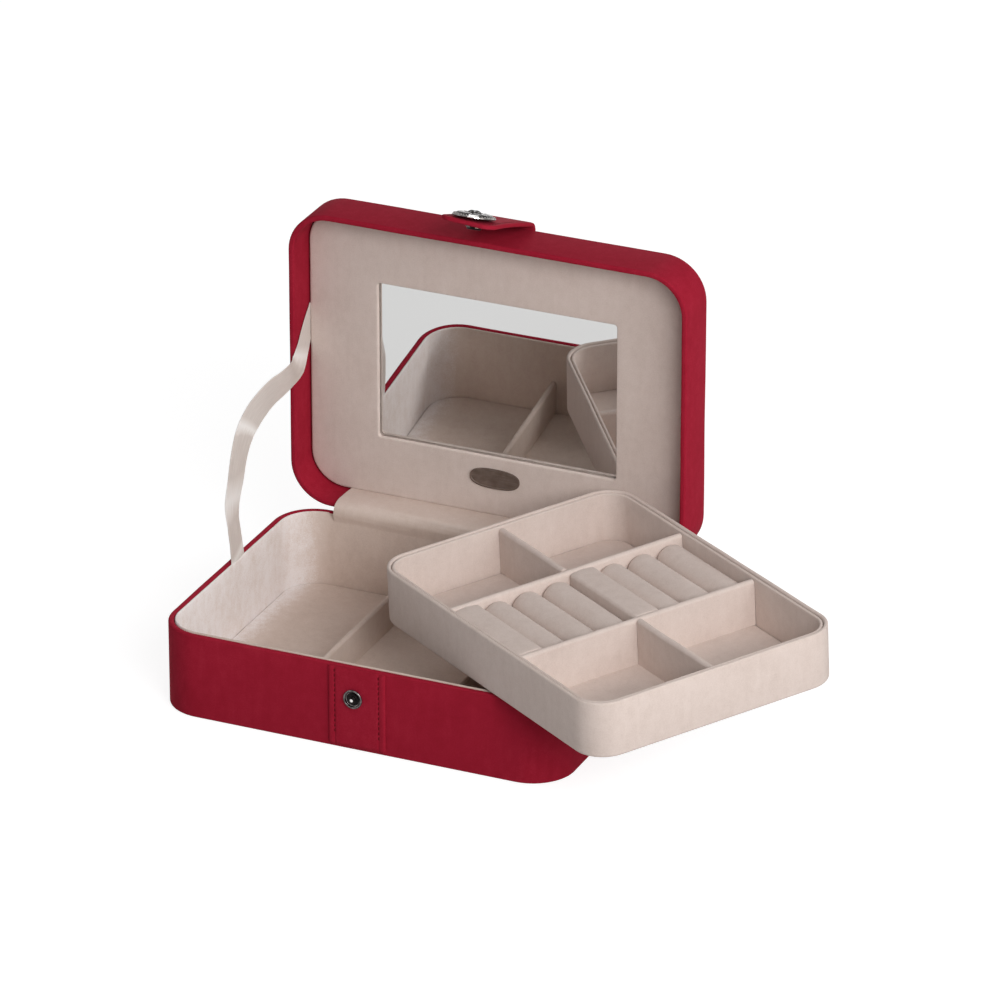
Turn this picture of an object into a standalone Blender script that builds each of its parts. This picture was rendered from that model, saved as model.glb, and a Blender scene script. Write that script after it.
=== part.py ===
# Tiered jewelry box, shown open: a soft-covered base with three compartments, a deep hinged lid
# with a mirror in its lining, a snap tab, a ribbon stay, and a lift-out ring tray lying askew on top.
# Metres, +Z up.  Origin: centre of the base's underside.  +X right along the front, +Y to the hinge.
import math

import bmesh
import bpy
from mathutils import Matrix, Vector

# Driving sizes.
seat_gap = 0.0003              # between pieces that lie on each other

box_width = 0.206
box_depth = 0.152
corner_radius = 0.021
base_height = 0.0426
lid_height = 0.0253
wall = 0.0028
rim_round = 0.0009
bottom_round = 0.0025
lid_top_round = 0.004
base_floor = 0.002

underside_cover_thick = 0.0009
underside_cover_inset = 0.008
underside_cover_round = 0.0003
lining_thick = 0.0012
lining_proud = 0.0004
lining_round = 0.0004
floor_pad_thick = 0.0013
floor_pad_round = 0.0006
divider_thick = 0.003
divider_top = 0.022            # height of the base dividers above the underside
compartment_pitch = 0.070      # between the two base dividers

closed_gap = 0.0006            # between the rims when shut
hinge_rise = 0.0024            # hinge axis above the base rim
open_angle = math.radians(90)

spine_thick = 0.0008
spine_end_clear = 0.002        # the spine stops this far inside the straight of the back
spine_base_leg = 0.016
spine_lid_leg = 0.015
spine_bend = 0.0011
hinge_lining_thick = 0.0006
hinge_lining_bend = 0.0014
hinge_lining_lean = 0.001

lid_recess = 0.016             # rim plane to the face of the lining panel
panel_board = 0.0027           # lining panel over the mirror's edge
panel_round = 0.0014
window_width = 0.122
window_height = 0.078
window_corner = 0.004
window_rise = 0.075            # centre of the window above the hinge end of the lid
window_round = 0.0010
mirror_lap = 0.005
mirror_thick = 0.0016
backing_thick = 0.0012
plate_width = 0.0252
plate_height = 0.0104
plate_thick = 0.0008
plate_rise = 0.0232
plate_rim = 0.0007

strip_width = 0.028
strip_thick = 0.0009
strip_top_clear = 0.0005

tab_width = 0.028
tab_thick = 0.002
tab_reach = 0.040              # tab hinge axis to the middle of the snap
tab_fold = 0.004               # middle radius of the fold over the lid edge
fold_inset_share = 0.25        # of that radius: how far in from the lid's front the fold is centred
tab_flare = math.radians(21)   # rest angle off the lid's front wall
tab_edge_round = 0.0006
anchor_length = 0.030
anchor_fold_angle = math.radians(50)
cap_radius = 0.0105
cap_height = 0.0034
cap_lip = 0.0009
cap_petals = 12
cap_relief = 0.0006
cap_rim_shares = ((0.82, 0), (1, 0.4), (1, 1))      # of the cap's radius and of its lip
cap_petal_shares = (0.95, 0.86, 0.77, 0.68, 0.58, 0.48, 0.38)
cap_petal_band_shares = (0.68, 0.28)   # middle and half width of the ring of petals
cap_dish_share = 0.62          # height of the petals' dish, of the rise above the lip
cap_boss_shares = (0.34, 0.26, 0.15)
cap_boss_edge_share = 0.36
cap_boss_base_share = 0.56
socket_radius = 0.0044
socket_height = 0.0022
socket_bore = 0.0026
stud_radius = 0.0048
stud_flange = 0.0008
stud_post_radius = 0.0019
stud_post_height = 0.0021
stud_neck_share = 0.8          # of the post's radius
stud_post_shares = (0.45, 0.7, 0.93)   # heights of the neck, the bulge and the shoulder

ribbon_width = 0.013
ribbon_thick = 0.0005
ribbon_climb = 0.088           # foot to the lid panel's edge
ribbon_bow = 0.003

tray_length = 0.186
tray_width = 0.136
tray_height = 0.028
tray_corner = 0.0155
tray_wall = 0.0019
tray_floor = 0.0018
tray_rim_round = 0.0008
tray_bottom_round = 0.0016
tray_lining_thick = 0.0016
tray_lining_drop = 0.0005      # lining's top below the outer ply
tray_groove = 0.0004
tray_pad_thick = 0.0012
tray_divider_thick = 0.0026
tray_divider_drop = 0.0018
tray_rear_divider_x = -0.033   # cross divider from the tray's middle
tray_ring_bay = 0.060          # between the two cross dividers
ring_pad_width = 0.0142
ring_pad_drop = 0.0022
ring_roll_drop = 0.0036
ring_roll_round = 0.0012
ring_rolls_each_side = 3
ring_roll_gap = 0.0005

tray_rest_x = 0.1027           # middle of the tray's underside at rest
tray_rest_y = -0.0170
tray_turn = math.radians(-33.4)
tray_lean = math.radians(-1.75)  # its right side rides up on the lid's rounded corner
tray_front_touch_x = 0.044     # where its underside lies on the front rim
tray_back_touch_x = 0.054      # and on the cloth over the lid's lower rim

corner_steps = 8
round_steps = 3

# Places that follow from the sizes.
shell_bottom = underside_cover_thick + seat_gap
shell_floor_top = shell_bottom + base_floor
lining_outset = wall + seat_gap
lining_inset = lining_outset + lining_thick
pad_bottom = shell_floor_top + seat_gap
pad_top = pad_bottom + floor_pad_thick
hinge_y = box_depth / 2
hinge_z = base_height + hinge_rise
rim_offset = hinge_rise - closed_gap           # lid rim plane to the hinge axis
lid_inner_top = lid_height - wall
back_straight = box_width - 2 * corner_radius


# Shape helpers.
def rounded_outline(length, width, radius, steps=corner_steps):
    """Points of a rectangle with rounded corners, counter-clockwise, the same count for every size."""
    points = []
    for side_x, side_y, turn in ((1, 1, 0), (-1, 1, 90), (-1, -1, 180), (1, -1, 270)):
        centre_x = side_x * (length / 2 - radius)
        centre_y = side_y * (width / 2 - radius)
        for step in range(steps + 1):
            angle = math.radians(turn + 90 * step / steps)
            points.append((centre_x + radius * math.cos(angle), centre_y + radius * math.sin(angle)))
    return points


def arc(centre_a, centre_b, radius, start, end, steps=round_steps):
    """Pairs along an arc given in degrees."""
    pairs = []
    for step in range(steps + 1):
        angle = math.radians(start + (end - start) * step / steps)
        pairs.append((centre_a + radius * math.cos(angle), centre_b + radius * math.sin(angle)))
    return pairs


def inset_loops(length, width, radius, profile):
    """One loop for each (inset, height) pair of a profile carried round the outline."""
    loops = []
    for inset, height in profile:
        outline = rounded_outline(length - 2 * inset, width - 2 * inset, radius - inset)
        loops.append([Vector((x, y, height)) for x, y in outline])
    return loops


def link(name, mesh, material, parent):
    body = bpy.data.objects.new(name, mesh)
    bpy.context.collection.objects.link(body)
    mesh.materials.append(material)
    mesh.shade_smooth()
    mesh.set_sharp_from_angle(angle=math.radians(35))
    body.parent = parent
    return body


def loft(name, loops, material, parent=None, ring=False, place=None):
    """Bridge loops of equal count into one closed body; a ring joins its last loop to its first."""
    shape = bmesh.new()
    rows = [[shape.verts.new(point) for point in loop] for loop in loops]
    pairs = list(zip(rows, rows[1:] + ([rows[0]] if ring else [])))
    for lower, upper in pairs:
        count = len(lower)
        for index in range(count):
            after = (index + 1) % count
            shape.faces.new((lower[index], lower[after], upper[after], upper[index]))
    if not ring:
        shape.faces.new(list(reversed(rows[0])))
        shape.faces.new(rows[-1])
    if place is not None:
        bmesh.ops.transform(shape, matrix=place, verts=shape.verts)
    bmesh.ops.recalc_face_normals(shape, faces=shape.faces)
    mesh = bpy.data.meshes.new(name)
    shape.to_mesh(mesh)
    shape.free()
    return link(name, mesh, material, parent)


def prism(name, outline, start, end, axis, edge_round, material, parent=None):
    """Extrude a closed outline along an axis and round the edges of its two end faces."""
    shape = bmesh.new()
    to_space = {
        "X": lambda a, b, c: Vector((c, a, b)),
        "Y": lambda a, b, c: Vector((b, c, a)),
    }[axis]
    first = [shape.verts.new(to_space(a, b, start)) for a, b in outline]
    cap = shape.faces.new(first)
    grown = bmesh.ops.extrude_face_region(shape, geom=[cap])
    moved = [item for item in grown["geom"] if isinstance(item, bmesh.types.BMVert)]
    bmesh.ops.translate(shape, verts=moved, vec=to_space(0, 0, end) - to_space(0, 0, start))
    bmesh.ops.recalc_face_normals(shape, faces=shape.faces)
    if edge_round > 0:
        ends = [face for face in shape.faces if len(face.verts) == len(outline)]
        edges = list({edge for face in ends for edge in face.edges})
        bmesh.ops.bevel(shape, geom=edges, offset=edge_round, segments=2, profile=0.5,
                        affect="EDGES", clamp_overlap=True)
    mesh = bpy.data.meshes.new(name)
    shape.to_mesh(mesh)
    shape.free()
    return link(name, mesh, material, parent)


def strap_outline(path, thick):
    """Closed outline of a strap of even thickness along a path of (a, b) pairs."""
    near = []
    far = []
    for index, point in enumerate(path):
        before = path[max(index - 1, 0)]
        after = path[min(index + 1, len(path) - 1)]
        along = Vector((after[0] - before[0], after[1] - before[1])).normalized()
        across = Vector((-along.y, along.x)) * thick / 2
        near.append((point[0] + across.x, point[1] + across.y))
        far.append((point[0] - across.x, point[1] - across.y))
    return near + list(reversed(far))


def turned(name, profile, material, parent, place, steps=32, relief=None):
    """Turn a (radius, height) profile about its own Z; relief lifts points by place and angle."""
    loops = []
    for radius, height in profile:
        loop = []
        for step in range(steps):
            angle = 2 * math.pi * step / steps
            lift = relief(radius, height, angle) if relief else 0
            loop.append(Vector((radius * math.cos(angle), radius * math.sin(angle), height + lift)))
        loops.append(loop)
    return loft(name, loops, material, parent, place=place)


def paint(name, colour, roughness, metallic=0.0):
    material = bpy.data.materials.new(name)
    material.use_nodes = True
    shader = material.node_tree.nodes["Principled BSDF"]
    shader.inputs["Base Color"].default_value = (*colour, 1)
    shader.inputs["Roughness"].default_value = roughness
    shader.inputs["Metallic"].default_value = metallic
    material.diffuse_color = (*colour, 1)
    return material


def frame_at(name, location, rotation=(0, 0, 0), order="XYZ", parent=None):
    empty = bpy.data.objects.new(name, None)
    bpy.context.collection.objects.link(empty)
    empty.location = location
    empty.rotation_mode = order
    empty.rotation_euler = rotation
    empty.parent = parent
    return empty


# Base.
def base_shell(red):
    profile = [(bottom_round, shell_bottom)]
    profile += arc(bottom_round, shell_bottom + bottom_round, bottom_round, 270, 180)[1:]
    profile += arc(rim_round, base_height - rim_round, rim_round, 180, 90)
    profile += arc(wall - rim_round, base_height - rim_round, rim_round, 90, 0)
    profile.append((wall, shell_floor_top))
    loft("base_shell", inset_loops(box_width, box_depth, corner_radius, profile), red)


def base_underside_cover(felt):
    edge = underside_cover_inset
    profile = [(edge + underside_cover_round, 0), (edge, underside_cover_round),
               (edge, underside_cover_thick)]
    loft("base_underside_cover", inset_loops(box_width, box_depth, corner_radius, profile), felt)


def base_wall_lining(cream):
    top = base_height + lining_proud
    middle = (lining_outset + lining_inset) / 2
    profile = [(lining_outset, pad_bottom), (lining_outset, top - lining_round),
               (lining_outset + lining_round / 2, top), (middle, top),
               (lining_inset - lining_round / 2, top),
               (lining_inset, top - lining_round), (lining_inset, pad_bottom)]
    loft("base_wall_lining", inset_loops(box_width, box_depth, corner_radius, profile), cream, ring=True)


def base_floor_pad(cream):
    edge = lining_inset + seat_gap
    profile = [(edge, pad_bottom), (edge, pad_top - floor_pad_round),
               (edge + floor_pad_round, pad_top)]
    loft("base_floor_pad", inset_loops(box_width, box_depth, corner_radius, profile), cream)


def divider_outline(thick, bottom, top):
    """Upright board with a round top, as (across, height) pairs."""
    half = thick / 2
    return [(half, bottom)] + arc(0, top - half, half, 0, 180, 6) + [(-half, bottom)]


def base_dividers(cream):
    reach = box_depth / 2 - lining_inset - seat_gap
    for name, side in (("base_divider_left", -1), ("base_divider_right", 1)):
        middle = side * compartment_pitch / 2
        outline = [(height, across + middle) for across, height
                   in divider_outline(divider_thick, pad_top + seat_gap, divider_top)]
        prism(name, outline, -reach, reach, "Y", 0, cream)


def snap_strip(red):
    """Stitched strip down the front wall, round the bottom edge and under the box."""
    face = -box_depth / 2 - seat_gap - strip_thick / 2
    under = shell_bottom - seat_gap - strip_thick / 2
    radius = bottom_round + seat_gap + strip_thick / 2
    path = [(face, base_height - strip_top_clear)]
    path += arc(face + radius, under + radius, radius, 180, 270, 5)
    path.append((-box_depth / 2 + underside_cover_inset - seat_gap, under))
    prism("snap_strip", strap_outline(path, strip_thick), -strip_width / 2, strip_width / 2, "X", 0, red)


# Lid: built shut in a frame on the hinge axis, then turned open.
def lid_place():
    """From the loft's own frame (plan outline, depth into the lid) to the frame on the hinge axis.

    The loft lies with its hinge edge at -Y; depth runs along +Z.  On the hinge frame the lid is shut
    when the frame is unturned, so its plan runs towards -Y and its depth along +Z."""
    return (Matrix.Translation((0, -box_depth / 2, -rim_offset))
            @ Matrix.Diagonal((1, -1, 1, 1)))


def lid_shell(red, lid):
    profile = [(wall, lid_inner_top)]
    profile += arc(wall - rim_round, rim_round, rim_round, 0, -90)
    profile += arc(rim_round, rim_round, rim_round, 270, 180)
    profile += arc(lid_top_round, lid_height - lid_top_round, lid_top_round, 180, 90, 4)
    loops = inset_loops(box_width, box_depth, corner_radius, profile)
    loft("lid_shell", loops, red, lid, place=lid_place())


def window_loops(profile, centre):
    loops = []
    for grow, depth in profile:
        outline = rounded_outline(window_width + 2 * grow, window_height + 2 * grow,
                                  window_corner + grow)
        loops.append([Vector((x, y + centre, depth)) for x, y in outline])
    return loops


panel_back = lid_recess + panel_board + seat_gap + mirror_thick
window_centre = window_rise - box_depth / 2
mirror_front = lid_recess + panel_board + seat_gap


def lid_panel(cream, lid):
    """Padded lining panel with the mirror's window; a rebate behind the window takes the glass."""
    edge = lining_outset
    outer = [(edge, panel_back)]
    outer += arc(edge + panel_round, lid_recess + panel_round, panel_round, 180, 270)
    inner = arc(window_round, lid_recess + window_round, window_round, 270, 180)
    inner += [(0, lid_recess + panel_board), (mirror_lap + seat_gap, lid_recess + panel_board),
              (mirror_lap + seat_gap, panel_back)]
    loops = inset_loops(box_width, box_depth, corner_radius, outer)
    loops += window_loops(inner, window_centre)
    loft("lid_panel", loops, cream, lid, ring=True, place=lid_place())


def lid_mirror(glass, board, lid):
    outline = rounded_outline(window_width + 2 * mirror_lap, window_height + 2 * mirror_lap,
                              window_corner + mirror_lap)
    loops = [[Vector((x, y + window_centre, depth)) for x, y in outline]
             for depth in (mirror_front, mirror_front + mirror_thick)]
    loft("mirror_glass", loops, glass, lid, place=lid_place())
    front = panel_back + seat_gap
    profile = [(lining_outset, front), (lining_outset, front + backing_thick)]
    loft("mirror_backing", inset_loops(box_width, box_depth, corner_radius, profile), board, lid,
         place=lid_place())


def name_plate(bronze, lid):
    """Plain oval plate with a raised rim, nothing on it."""
    back = lid_recess - seat_gap
    rows = [(1, 0, back), (1, 0, back - plate_thick), (1, plate_rim, back - plate_thick),
            (1, 2 * plate_rim, back - plate_thick / 2)]
    loops = []
    for scale, inset, depth in rows:
        loop = []
        for step in range(36):
            angle = 2 * math.pi * step / 36
            across = (plate_width / 2 - inset) * math.cos(angle) * scale
            along = (plate_height / 2 - inset) * math.sin(angle) * scale
            loop.append(Vector((across, along + plate_rise - box_depth / 2, depth)))
        loops.append(loop)
    loft("name_plate", loops, bronze, lid, place=lid_place())


# Snap tab.
# In the shut lid's frame the front wall's outer face is at y = -box_depth and the lid's top is up.
lid_top = lid_height - rim_offset
fold_y = -box_depth + tab_fold * fold_inset_share
fold_z = lid_top + seat_gap + tab_thick / 2 - tab_fold
fold_turn = math.pi / 2 - tab_flare
tab_axis_y = fold_y - tab_fold * math.sin(fold_turn)
tab_axis_z = fold_z + tab_fold * math.cos(fold_turn)
snap_stack = strip_thick + stud_flange + socket_height + 4 * seat_gap
tab_stand_off = -tab_axis_y - box_depth - tab_thick / 2
tab_seated = math.asin((snap_stack - tab_stand_off) / tab_reach)
socket_middle = tab_thick / 2 + seat_gap + socket_height / 2
stud_height = (hinge_z + tab_axis_z - tab_reach * math.cos(tab_seated)
               - socket_middle * math.sin(tab_seated))


def tab_anchor(red, lid):
    """The strap's fixed end: flat on the lid's top, then folded over its front edge."""
    path = [(fold_y + anchor_length, lid_top + seat_gap + tab_thick / 2)]
    for step in range(7):
        turn = anchor_fold_angle * step / 6
        path.append((fold_y - tab_fold * math.sin(turn), fold_z + tab_fold * math.cos(turn)))
    prism("tab_anchor", strap_outline(path, tab_thick), -tab_width / 2, tab_width / 2, "X", 0, red, lid)


def closure_tab(red, tab):
    """Strap hanging along the tab frame's -Z: round about the snap, and rolled where it hinges."""
    root = tab_thick / 2
    loops = []
    for push, shrink in ((-root, tab_edge_round), (-root + tab_edge_round, 0),
                         (root - tab_edge_round, 0), (root, tab_edge_round)):
        half = tab_width / 2 - shrink
        roll = math.sqrt(root ** 2 - push ** 2)
        loop = [Vector((-half, push, roll))]
        for across, down in arc(0, -tab_reach, half, 180, 360, 14):
            loop.append(Vector((across, push, down)))
        loop.append(Vector((half, push, roll)))
        loops.append(loop)
    loft("closure_tab", loops, red, tab)


def snap_face(depth):
    """Frame on the middle of the snap, its Z out of the tab's outer face."""
    return (Matrix.Translation((0, -depth, -tab_reach)) @ Matrix.Rotation(math.radians(90), 4, "X"))


def snap_cap(silver, tab):
    """Domed cap with a ring of plain petals."""
    seat = tab_thick / 2 + seat_gap
    rise = cap_height - cap_lip

    def petals(radius, height, angle):
        if height <= cap_lip:
            return 0
        middle_share, spread_share = cap_petal_band_shares
        band = max(0, 1 - abs(radius / cap_radius - middle_share) / spread_share)
        return cap_relief * band * math.cos(cap_petals * angle)

    profile = [(cap_radius * out, cap_lip * up) for out, up in cap_rim_shares]
    for share in cap_petal_shares:
        profile.append((cap_radius * share, cap_lip + rise * cap_dish_share * math.sqrt(1 - share * share)))
    for share in cap_boss_shares:
        bump = math.sqrt(1 - (share / cap_boss_edge_share) ** 2)
        lift_share = cap_boss_base_share + (1 - cap_boss_base_share) * bump
        profile.append((cap_radius * share, cap_lip + rise * lift_share))
    turned("snap_cap", profile, silver, tab, snap_face(seat), steps=72, relief=petals)


def snap_socket(steel, tab):
    """Ring on the tab's inner face that takes the stud's post; its bore is open towards the stud."""
    back = tab_thick / 2 + seat_gap
    place = (Matrix.Translation((0, back, -tab_reach)) @ Matrix.Rotation(math.radians(-90), 4, "X"))
    edge = tab_edge_round
    profile = [(socket_radius - edge, 0), (socket_radius, edge), (socket_radius, socket_height - edge),
               (socket_radius - edge, socket_height), (socket_bore + edge / 2, socket_height),
               (socket_bore, socket_height - edge), (socket_bore, edge)]
    turned("snap_socket", profile, steel, tab, place, steps=28)


def snap_stud(steel):
    """Flange with a rolled rim and a round-headed post, on the strip."""
    seat = -box_depth / 2 - seat_gap - strip_thick - seat_gap
    place = (Matrix.Translation((0, seat, stud_height)) @ Matrix.Rotation(math.radians(90), 4, "X"))
    half = stud_flange / 2
    neck = stud_post_radius * stud_neck_share
    neck_share, bulge_share, shoulder_share = stud_post_shares
    profile = [(stud_radius - half, 0), (stud_radius, half), (stud_radius - half, stud_flange),
               (stud_radius - 2 * half, stud_flange), (stud_radius - 3 * half, half),
               (neck, half), (neck, stud_post_height * neck_share),
               (stud_post_radius, stud_post_height * bulge_share),
               (neck, stud_post_height * shoulder_share),
               (neck / 2, stud_post_height)]
    turned("snap_stud", profile, steel, None, place, steps=28)


# Hinge cloths and ribbon.
# In the open lid's frame the rim plane stands at y = hinge_y - rim_offset.
lid_rim_y = hinge_y - rim_offset
lid_low_face = hinge_z                       # outer face of the lid's lower wall when open
lid_low_inner = hinge_z + wall


def hinge_spine(red):
    """Cover cloth at the back: down the base, and under the open lid."""
    half = spine_thick / 2
    out = hinge_y + seat_gap + half
    under = lid_low_face - seat_gap - half
    path = [(out, under - spine_bend - spine_base_leg)]
    path += arc(out + spine_bend, under - spine_bend, spine_bend, 180, 90, 5)
    path.append((out + spine_bend + spine_lid_leg, under))
    reach = back_straight / 2 - spine_end_clear
    prism("hinge_spine", strap_outline(path, spine_thick), -reach, reach, "X", 0, red)


hinge_lining_top = lid_low_inner + seat_gap + hinge_lining_thick


def hinge_lining(cream):
    """Lining cloth from the lid panel over the lid's lower rim and down to the base lining."""
    half = hinge_lining_thick / 2
    along = lid_low_inner + seat_gap + half
    front = lid_rim_y - seat_gap - half
    radius = hinge_lining_bend
    path = [(lid_rim_y + lid_recess - seat_gap, along)]
    path += arc(front + radius, along - radius, radius, 90, 180, 4)
    end = base_height + lining_proud + seat_gap + half
    path.append((front - hinge_lining_lean, end))
    reach = back_straight / 2
    prism("hinge_lining", strap_outline(path, hinge_lining_thick), -reach, reach, "X", 0, cream)


# Ribbon's middle line in the plane of the left wall: (back, up), as shares of the box's depth and of
# the ribbon's climb; then how far it bows in off that plane, as shares of its bow.
ribbon_route_shares = (
    (0.028, 0.000), (0.020, 0.076), (0.005, 0.167), (-0.005, 0.258), (-0.008, 0.349), (0.005, 0.440),
    (0.030, 0.531), (0.063, 0.622), (0.112, 0.701), (0.178, 0.758), (0.257, 0.795), (0.342, 0.813),
    (0.421, 0.838), (0.487, 0.889), (0.539, 0.957), (0.579, 1.019))
ribbon_bow_shares = (0, 0.15, 0.4, 0.65, 0.85, 1, 0.95, 0.75, 0.55, 0.4, 0.35, 0.4, 0.4, 0.25, 0.1, 0)


def ribbon_stay(satin):
    """Slack satin ribbon between the base's left wall and the lid's left wall."""
    start_z = base_height + lining_proud + seat_gap
    wall_x = -box_width / 2 + lining_outset + lining_thick / 2
    last_y = lid_rim_y + lid_recess - seat_gap
    route = [Vector((wall_x + ribbon_bow * out, back * box_depth, start_z + up * ribbon_climb))
             for (back, up), out in zip(ribbon_route_shares, ribbon_bow_shares)]
    thick = Vector((ribbon_thick / 2, 0, 0))
    loops = []
    for index, middle in enumerate(route):
        along = route[min(index + 1, len(route) - 1)] - route[max(index - 1, 0)]
        across = Vector((0, along.z, -along.y)).normalized() * ribbon_width / 2
        if index == 0:
            across = Vector((0, across.length, 0))
        loop = [middle - across - thick, middle + across - thick,
                middle + across + thick, middle - across + thick]
        for point in loop:
            point.y = min(point.y, last_y)
        loops.append(loop)
    loft("ribbon_stay", loops, satin)


# Tray: its own frame has the origin at the middle of its underside.
tray_inner_inset = tray_wall + tray_groove + tray_lining_thick
tray_pad_bottom = tray_floor + seat_gap
tray_pad_top = tray_pad_bottom + tray_pad_thick
tray_half_length = tray_length / 2 - tray_inner_inset
tray_half_width = tray_width / 2 - tray_inner_inset
tray_front_divider_x = tray_rear_divider_x + tray_ring_bay


def tray_shell(cream, tray):
    profile = [(tray_bottom_round, 0)]
    profile += arc(tray_bottom_round, tray_bottom_round, tray_bottom_round, 270, 180)[1:]
    profile += arc(tray_rim_round, tray_height - tray_rim_round, tray_rim_round, 180, 90)
    profile += arc(tray_wall - tray_rim_round, tray_height - tray_rim_round, tray_rim_round, 90, 0)
    profile.append((tray_wall, tray_floor))
    loft("tray_shell", inset_loops(tray_length, tray_width, tray_corner, profile), cream, tray)


def tray_wall_lining(cream, tray):
    outer = tray_wall + tray_groove
    top = tray_height - tray_lining_drop
    radius = tray_lining_thick / 2
    profile = [(outer, tray_pad_bottom)]
    profile += arc(outer + radius, top - radius, radius, 180, 0, 6)
    profile.append((outer + tray_lining_thick, tray_pad_bottom))
    loft("tray_wall_lining", inset_loops(tray_length, tray_width, tray_corner, profile), cream, tray,
         ring=True)


def tray_floor_pad(cream, tray):
    edge = tray_inner_inset + seat_gap
    profile = [(edge, tray_pad_bottom), (edge, tray_pad_top - floor_pad_round),
               (edge + floor_pad_round, tray_pad_top)]
    loft("tray_floor_pad", inset_loops(tray_length, tray_width, tray_corner, profile), cream, tray)


def tray_dividers(cream, tray):
    bottom = tray_pad_top + seat_gap
    top = tray_height - tray_divider_drop
    across = divider_outline(tray_divider_thick, bottom, top)
    reach = tray_half_width - seat_gap
    for name, middle in (("tray_cross_divider_rear", tray_rear_divider_x),
                         ("tray_cross_divider_front", tray_front_divider_x)):
        outline = [(height, side + middle) for side, height in across]
        prism(name, outline, -reach, reach, "Y", 0, cream, tray)
    half = tray_divider_thick / 2 + seat_gap
    spans = (("tray_bay_divider_rear", -tray_half_length + seat_gap, tray_rear_divider_x - half),
             ("tray_bay_divider_front", tray_front_divider_x + half, tray_half_length - seat_gap))
    for name, start, end in spans:
        prism(name, across, start, end, "X", 0, cream, tray)


ring_start = tray_rear_divider_x + tray_divider_thick / 2 + seat_gap
ring_end = tray_front_divider_x - tray_divider_thick / 2 - seat_gap
ring_field = 2 * (tray_half_width - seat_gap) - 2 * ring_pad_width
ring_pitch = ring_field / (2 * ring_rolls_each_side)


def ring_bank(cream, tray):
    """Flat pads and six round-topped rolls between the cross dividers; rings stand in the slits."""
    bottom = tray_pad_top + seat_gap
    pad_top_height = tray_height - ring_pad_drop
    low = -tray_half_width + seat_gap
    group = ring_rolls_each_side * ring_pitch
    for name, start in (("ring_pad_side", low), ("ring_pad_middle", low + ring_pad_width + group)):
        first = start + ring_roll_gap / 2
        last = start + ring_pad_width - ring_roll_gap / 2
        edge = ring_roll_round
        outline = [(first, bottom), (last, bottom)]
        outline += arc(last - edge, pad_top_height - edge, edge, 0, 90)
        outline += arc(first + edge, pad_top_height - edge, edge, 90, 180)
        prism(name, outline, ring_start, ring_end, "X", 0, cream, tray)
    radius = (ring_pitch - ring_roll_gap) / 2
    top = tray_height - ring_roll_drop
    for bank in range(2):
        for place in range(ring_rolls_each_side):
            number = bank * ring_rolls_each_side + place + 1
            middle = low + (bank + 1) * ring_pad_width + bank * group + (place + 0.5) * ring_pitch
            outline = [(middle - radius, bottom), (middle + radius, bottom)]
            outline += arc(middle, top - radius, radius, 0, 180, 12)
            prism(f"ring_roll_{number}", outline, ring_start, ring_end, "X", ring_roll_round / 2, cream,
                  tray)


def rest_tray():
    """The tray lies on the base's front rim and on the cloth over the open lid's lower rim."""
    front_y = -box_depth / 2 + lining_outset
    front_z = base_height + lining_proud + seat_gap
    back_y = lid_rim_y + rim_round
    back_z = hinge_lining_top + seat_gap
    sideways = -math.tan(tray_lean)
    rise = back_z - front_z - sideways * (tray_back_touch_x - tray_front_touch_x)
    tilt = math.atan2(rise, back_y - front_y)
    height = (front_z + sideways * (tray_rest_x - tray_front_touch_x)
              + math.tan(tilt) * (tray_rest_y - front_y))
    return frame_at("tray_frame", (tray_rest_x, tray_rest_y, height), (tilt, tray_lean, tray_turn), "ZYX")


# Build.
def main():
    for item in list(bpy.data.objects):
        bpy.data.objects.remove(item, do_unlink=True)

    red = paint("red_suede", (0.28, 0.012, 0.03), 0.9)
    cream = paint("cream_suede", (0.60, 0.50, 0.44), 0.92)
    felt = paint("dark_felt", (0.05, 0.04, 0.04), 0.95)
    board = paint("grey_board", (0.35, 0.32, 0.29), 0.85)
    glass = paint("mirror_glass", (0.85, 0.87, 0.88), 0.03, 1.0)
    bronze = paint("plate_bronze", (0.17, 0.13, 0.11), 0.45, 0.8)
    silver = paint("antique_silver", (0.42, 0.40, 0.38), 0.35, 1.0)
    steel = paint("gunmetal", (0.16, 0.15, 0.15), 0.3, 1.0)
    satin = paint("cream_satin", (0.66, 0.58, 0.52), 0.35)

    base_shell(red)
    base_underside_cover(felt)
    base_wall_lining(cream)
    base_floor_pad(cream)
    base_dividers(cream)
    snap_strip(red)
    snap_stud(steel)
    hinge_spine(red)
    hinge_lining(cream)
    ribbon_stay(satin)

    lid = frame_at("lid_hinge", (0, hinge_y, hinge_z), (-open_angle, 0, 0))
    lid_shell(red, lid)
    lid_panel(cream, lid)
    lid_mirror(glass, board, lid)
    name_plate(bronze, lid)
    tab_anchor(red, lid)

    tab = frame_at("tab_hinge", (0, tab_axis_y, tab_axis_z), (-tab_flare, 0, 0), parent=lid)
    closure_tab(red, tab)
    snap_cap(silver, tab)
    snap_socket(steel, tab)

    tray = rest_tray()
    tray_shell(cream, tray)
    tray_wall_lining(cream, tray)
    tray_floor_pad(cream, tray)
    tray_dividers(cream, tray)
    ring_bank(cream, tray)


main()
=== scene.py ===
# Tiered jewelry box standing open: red suede outside, cream suede inside, its ring tray lying askew on top.
import math

import bmesh
import bpy
from mathutils import Euler, Matrix, Vector, noise


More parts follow.
